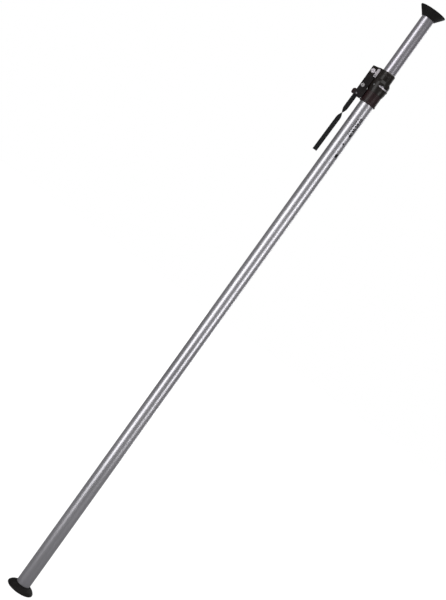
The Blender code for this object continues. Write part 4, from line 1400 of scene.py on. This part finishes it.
@dataclass
class LockLever:
    """The lever: a channel with a window for the catch's thumb tab, grip ribs, and the cam at its root."""

    finishes: Finishes
    lock: Lock
    out: float = 0.0083
    inner: float = 0.0157
    beside: float = 0.0182
    web: float = 0.0024
    cheek_top: float = 0.0155
    reach: float = 0.0870
    window: float = 0.0670
    cam: float = 0.0180
    opening: float = 120.0

    def cam_face(self, steps: int = 32) -> list[Point]:
        """The cam's working face, whose distance to the pad falls evenly as the lever opens.

        Args:
            steps: How many steps it has.

        Returns:
            Its points.
        """
        rate = self.lock.lift / math.radians(self.opening)
        points = []
        for i in range(steps + 1):
            angle = math.radians(self.opening) * i / steps
            reach = self.cam - rate * angle
            points.append((self.lock.pivot.x + reach * math.sin(angle) - rate * math.cos(angle),
                           self.lock.pivot.z - reach * math.cos(angle) - rate * math.sin(angle)))
        return points

    def build(self) -> None:
        """Builds the lever."""
        lock = self.lock
        x, z, half, inside = lock.pivot.x, lock.pivot.z, lock.half_width, lock.half_width - lock.cheek
        outer, inner = x - self.out, x + self.inner
        top, bottom = z - self.cheek_top, z - self.reach
        beside, step = x + self.beside, lock.tube.z - 0.0035
        side = [(inner - 0.0020, bottom), (inner, bottom + 0.0020), (inner, bottom + 0.0040),
                (beside, bottom + 0.0060), (beside, step), (inner, step + 0.0020), (inner, top - 0.0030),
                (inner - 0.0030, top), (outer, top), (outer, bottom + 0.0015), (outer + 0.0015, bottom)]
        root = [*self.cam_face(), *arc((x, z), self.out, 55, 180, 16), (outer, top - 0.0110),
                (outer + self.web, top - 0.0110), (outer + self.web, z - self.cam)]
        base = slab(side, -half, half, 0.0011, segments=3)
        channel = block((outer + self.web, -inside, bottom - 0.002), (beside + 0.002, inside, top + 0.002))
        window = block((outer - 0.002, -inside, bottom - 0.002), (outer + self.web + 0.002, inside, z - self.window))
        hollow = carved("lever_shell", base, removed=[channel, window])
        shell = bmesh.new()
        shell.from_mesh(hollow.data)
        spare = hollow.data
        bpy.data.objects.remove(hollow)
        bpy.data.meshes.remove(spare)
        holes = [across(lock.pivot, 0.0043, -0.02, 0.02), across(lock.catch, 0.0025, -0.02, 0.02),
                 across(lock.strap, 0.0015, -0.02, 0.02)]
        wide = half - 0.0035
        grooves = [block((outer - 0.001, -wide, height - 0.0007), (outer + 0.0006, wide, height + 0.0007))
                   for height in (z - 0.030 - 0.0036 * i for i in range(7))]
        lever = carved("lock_lever", shell, [slab(root, -inside + 0.0004, inside - 0.0004)], holes + grooves)
        settle(lever, self.finishes.lever, Body.LEVER, ["lever"])


@dataclass
class SafetyCatch:
    """The sprung catch in the lever, with a ribbed thumb tab and the nose that sits in the post's pocket."""

    finishes: Finishes
    lock: Lock
    half: float = 0.0098
    hub: float = 0.0052
    thumb: float = 0.0173
    nose_half: float = 0.0042

    def build(self) -> None:
        """Builds the catch."""
        x, z = self.lock.catch.x, self.lock.catch.z
        thumb = x - self.thumb
        outline = [*arc((x, z), self.hub, 20, 180, 14), (x - self.hub, z - 0.0167), (x - 0.0093, z - 0.0185),
                   (thumb + 0.0054, z - 0.0184), (thumb + 0.0012, z - 0.0216), (thumb, z - 0.0236),
                   (thumb, z - 0.0320),
                   (thumb + 0.0020, z - 0.0352), (x - 0.0069, z - 0.0352), (x - 0.0065, z - 0.0210),
                   (x - 0.0018, z - 0.0200), (x - 0.0012, z - 0.0060), (x + 0.0030, z - 0.0042)]
        nose = [(x, z - 0.0026), (x + 0.0077, z - 0.0026), (x + 0.0087, z - 0.0014), (x + 0.0087, z + 0.0018),
                (x, z + 0.0026)]
        removed = [
            block((thumb + 0.0030, -0.0016, z - 0.040), (x + 0.01, 0.0016, z - 0.0190)),
            across(self.lock.catch, 0.0025, -0.02, 0.02),
            across(self.lock.catch, 0.00805, self.nose_half + 0.0004, self.half + 0.001),
        ]
        for i in range(3):
            height = z - 0.0256 - 0.0026 * i
            removed.append(block((thumb - 0.001, -self.half + 0.0014, height - 0.0006),
                                 (thumb + 0.0006, self.half - 0.0014, height + 0.0006)))
        catch = carved("thumb_catch", slab(outline, -self.half, self.half, 0.0006),
                       [slab(nose, -self.nose_half, self.nose_half, 0.0003)], removed)
        settle(catch, self.finishes.casting, Body.CATCH, ["safety_catch"])


@dataclass
class PullStrap:
    """The flat webbing strap that hangs from the lever's rivet, with half a twist in it and a square-cut end."""

    finishes: Finishes
    lock: Lock
    width: float = 0.0140
    thickness: float = 0.0016
    length: float = 0.2050
    lean: float = 0.0035
    twist_start: float = 0.0420
    twist_end: float = 0.0980

    def centre(self, down: float) -> Vector:
        """The middle of the strap at a distance below its pin."""
        return self.lock.strap + Vector((-self.lean * max(down, 0.0) / self.length, 0.0, -down))

    def turn(self, down: float) -> float:
        """How far the strap is twisted there, in radians: half a turn, eased in and out."""
        share = min(1.0, max(0.0, (down - self.twist_start) / (self.twist_end - self.twist_start)))
        return math.pi * share * share * (3 - 2 * share)

    def breadth(self, down: float) -> float:
        """How wide the strap is there, as a share of its width: it is rounded off above its pin."""
        return math.sqrt(max(0.04, 1.0 - (min(down, 0.0) / (self.width / 2)) ** 2))

    def steps(self) -> list[float]:
        """Distances below the pin, close together where the strap is rounded or twists."""
        downs = [-0.0068, -0.0064, -0.0056, -0.0044, -0.0028, 0.0, 0.010, 0.022, 0.032]
        for first, last, count in ((self.twist_start, self.twist_end, 44), (self.twist_end, self.length, 16)):
            downs += [first + (last - first) * i / count for i in range(count)]
        return [*downs, self.length]

    def ribbon(self) -> bmesh.types.BMesh:
        """Sweeps the strap's section down its length.

        Returns:
            The strap's mesh.
        """
        half, thin = self.width / 2, self.thickness / 2
        section = [(-half, -thin * 0.5), (-half * 0.93, -thin), (half * 0.93, -thin), (half, -thin * 0.5),
                   (half, thin * 0.5), (half * 0.93, thin), (-half * 0.93, thin), (-half, thin * 0.5)]
        downs = self.steps()
        bm = bmesh.new()
        start = self.centre(downs[0])
        first = self.breadth(downs[0])
        end = bm.faces.new([bm.verts.new(start + Vector((a * first, b, 0.0))) for a, b in section])
        for above, below in zip(downs, downs[1:]):
            grown = bmesh.ops.extrude_face_region(bm, geom=[end])["geom"]
            verts = [part for part in grown if isinstance(part, bmesh.types.BMVert)]
            end = next(part for part in grown if isinstance(part, bmesh.types.BMFace))
            middle_above, widen = self.centre(above), self.breadth(below) / self.breadth(above)
            spun = Matrix.Rotation(self.turn(below) - self.turn(above), 3, "Z")
            bmesh.ops.scale(bm, vec=(widen, 1.0, 1.0), space=Matrix.Translation(-middle_above), verts=verts)
            bmesh.ops.rotate(bm, cent=middle_above, matrix=spun, verts=verts)
            bmesh.ops.translate(bm, vec=self.centre(below) - middle_above, verts=verts)
        bmesh.ops.recalc_face_normals(bm, faces=bm.faces)
        return bm

    def lay_weave(self, strap: bpy.types.Object) -> None:
        """Gives the strap the map that its weave follows: across it and along it, in metres.

        Args:
            strap: The strap.
        """
        mesh = strap.data
        weave = mesh.uv_layers.new(name="weave")
        for loop in mesh.loops:
            place = mesh.vertices[loop.vertex_index].co
            down = self.lock.strap.z - place.z
            flat = Matrix.Rotation(-self.turn(down), 3, "Z") @ (place - self.centre(down))
            weave.data[loop.index].uv = (flat.x, down)

    def build(self) -> None:
        hole = across(self.lock.strap, 0.0015, -0.01, 0.01, 32)
        strap = carved("pull_strap", self.ribbon(), removed=[hole])
        self.lay_weave(strap)
        settle(strap, self.finishes.webbing, Body.STRAP, ["strap"], 50)


# Studio


@dataclass(frozen=True)
class Lamp:
    """One soft lamp."""

    name: str
    place: Sequence[float]
    aim: Sequence[float]
    wide: float
    tall: float
    power: float

    def build(self) -> None:
        """Hangs the lamp."""
        data = bpy.data.lights.new(self.name, "AREA")
        data.shape, data.size, data.size_y, data.energy = "RECTANGLE", self.wide, self.tall, self.power
        lamp = bpy.data.objects.new(self.name, data)
        bpy.context.scene.collection.objects.link(lamp)
        lamp.location = self.place
        lamp.visible_camera = False
        lamp.rotation_mode = "QUATERNION"
        lamp.rotation_quaternion = (Vector(self.aim) - Vector(self.place)).to_track_quat("-Z", "Y")


@dataclass
class Studio:
    """The pale floor, the soft lamps, the white surround and the camera at the photograph's view."""

    distance: float = 4.0
    eye: float = 1.45
    aim: float = 1.2850
    sideways: float = -0.0073
    roll: float = 35.64
    lens: float = 81.64
    shift: tuple[float, float] = (-0.0762, -0.1053)
    fill: float = 0.60
    mirrored: float = 0.20
    pale_near: float = 0.78
    pale_far: float = 0.975
    lamps: tuple[Lamp, ...] = (
        Lamp("key_strip", (-0.79, -0.90, 1.24), (0.0, 0.0, 1.24), 0.64, 2.43, 10.8),
        Lamp("side_strip", (1.02, -0.96, 1.12), (0.0, 0.0, 1.12), 0.41, 1.55, 6.0),
        Lamp("back_strip", (0.90, 1.30, 1.25), (0.0, 0.0, 1.25), 0.50, 2.20, 6.5),
        Lamp("top_soft", (0.2, -0.8, 3.6), (0.0, 0.0, 1.6), 1.6, 1.2, 12.0),
    )

    def place_camera(self) -> None:
        """Places the camera, tilted as the photograph is."""
        data = bpy.data.cameras.new("camera")
        data.lens, data.sensor_width, data.sensor_fit = self.lens, 36.0, "AUTO"
        data.shift_x, data.shift_y = self.shift
        data.clip_start, data.clip_end = 0.05, 60.0
        camera = bpy.data.objects.new("camera", data)
        bpy.context.scene.collection.objects.link(camera)
        eye = Vector((self.sideways, -self.distance, self.eye))
        look = (Vector((self.sideways, 0.0, self.aim)) - eye).to_track_quat("-Z", "Y").to_matrix().to_4x4()
        camera.matrix_world = Matrix.Translation(eye) @ look @ Matrix.Rotation(math.radians(self.roll), 4, "Z")
        bpy.context.scene.camera = camera

    def lay_floor(self) -> None:
        """Lays the floor, white to the camera and with the pole's shadow on it."""
        bm = bmesh.new()
        bmesh.ops.create_grid(bm, x_segments=1, y_segments=1, size=9.0)
        bmesh.ops.translate(bm, verts=bm.verts, vec=(0, 0, -0.0002))
        floor = as_object("floor", bm)
        made = bpy.data.materials.new("pale_floor")
        made.use_nodes = True
        nodes, links = made.node_tree.nodes, made.node_tree.links
        shader = nodes["Principled BSDF"]
        shader.inputs["Base Color"].default_value = (0.36, 0.36, 0.36, 1.0)
        shader.inputs["Roughness"].default_value = 0.9
        shader.inputs["Specular IOR Level"].default_value = 0.1
        rays = nodes.new("ShaderNodeLightPath")
        place = nodes.new("ShaderNodeTexCoord")
        reach = nodes.new("ShaderNodeVectorMath")
        reach.operation = "LENGTH"
        links.new(place.outputs["Object"], reach.inputs[0])
        pale = nodes.new("ShaderNodeMapRange")
        for key, value in (("From Min", 0.3), ("From Max", 3.5), ("To Min", self.pale_near), ("To Max", self.pale_far)):
            pale.inputs[key].default_value = value
        links.new(reach.outputs["Value"], pale.inputs["Value"])
        seen = nodes.new("ShaderNodeMath")
        seen.operation = "MULTIPLY"
        links.new(pale.outputs["Result"], seen.inputs[1])
        links.new(rays.outputs["Is Camera Ray"], seen.inputs[0])
        shader.inputs["Emission Color"].default_value = (1.0, 1.0, 1.0, 1.0)
        links.new(seen.outputs[0], shader.inputs["Emission Strength"])
        floor.data.materials.append(made)

    def light_surround(self) -> None:
        """Lights the surround: white to the camera and through glass, plain grey in metal, a soft fill for the rest."""
        world = bpy.data.worlds.new("surround")
        bpy.context.scene.world = world
        world.use_nodes = True
        nodes, links = world.node_tree.nodes, world.node_tree.links
        nodes.clear()
        rays = nodes.new("ShaderNodeLightPath")
        fill, mirrored, white = (nodes.new("ShaderNodeBackground") for _ in range(3))
        fill.inputs["Strength"].default_value = self.fill
        mirrored.inputs["Strength"].default_value = self.mirrored
        white.inputs["Strength"].default_value = 1.0
        for background in (fill, mirrored, white):
            background.inputs["Color"].default_value = (1.0, 1.0, 1.0, 1.0)
        seen = nodes.new("ShaderNodeMath")
        seen.operation = "MAXIMUM"
        links.new(rays.outputs["Is Camera Ray"], seen.inputs[0])
        links.new(rays.outputs["Is Transmission Ray"], seen.inputs[1])
        glossy, shown = nodes.new("ShaderNodeMixShader"), nodes.new("ShaderNodeMixShader")
        links.new(rays.outputs["Is Glossy Ray"], glossy.inputs[0])
        links.new(fill.outputs[0], glossy.inputs[1])
        links.new(mirrored.outputs[0], glossy.inputs[2])
        links.new(seen.outputs[0], shown.inputs[0])
        links.new(glossy.outputs[0], shown.inputs[1])
        links.new(white.outputs[0], shown.inputs[2])
        output = nodes.new("ShaderNodeOutputWorld")
        links.new(shown.outputs[0], output.inputs["Surface"])

    def build(self) -> None:
        """Sets the whole studio up."""
        self.lay_floor()
        self.light_surround()
        for lamp in self.lamps:
            lamp.build()
        self.place_camera()
        bpy.context.scene.view_settings.view_transform = "Standard"


def main() -> None:
    """Builds the studio and the pole's sub-assemblies in order."""
    logging.basicConfig(level=logging.INFO, format="%(name)s: %(message)s")
    Studio().build()
    lock = Lock()
    finishes = Finishes.make(PullStrap.width)
    assemblies = (
        PullStrap(finishes, lock),
        PoleTubes(finishes),
        TubeScale(finishes),
        FloorFoot(finishes),
        CeilingCup(finishes),
        TubeGuides(finishes),
        LockCollar(finishes, lock),
        BrakeCarriage(finishes, lock),
        BrakePlate(finishes, lock),
        LeverPins(finishes, lock),
        LockLever(finishes, lock),
        SafetyCatch(finishes, lock),
    )
    for assembly in assemblies:
        assembly.build()
    LOG.info("built %d sub-assemblies", len(assemblies))


if __name__ == "__main__":
    main()
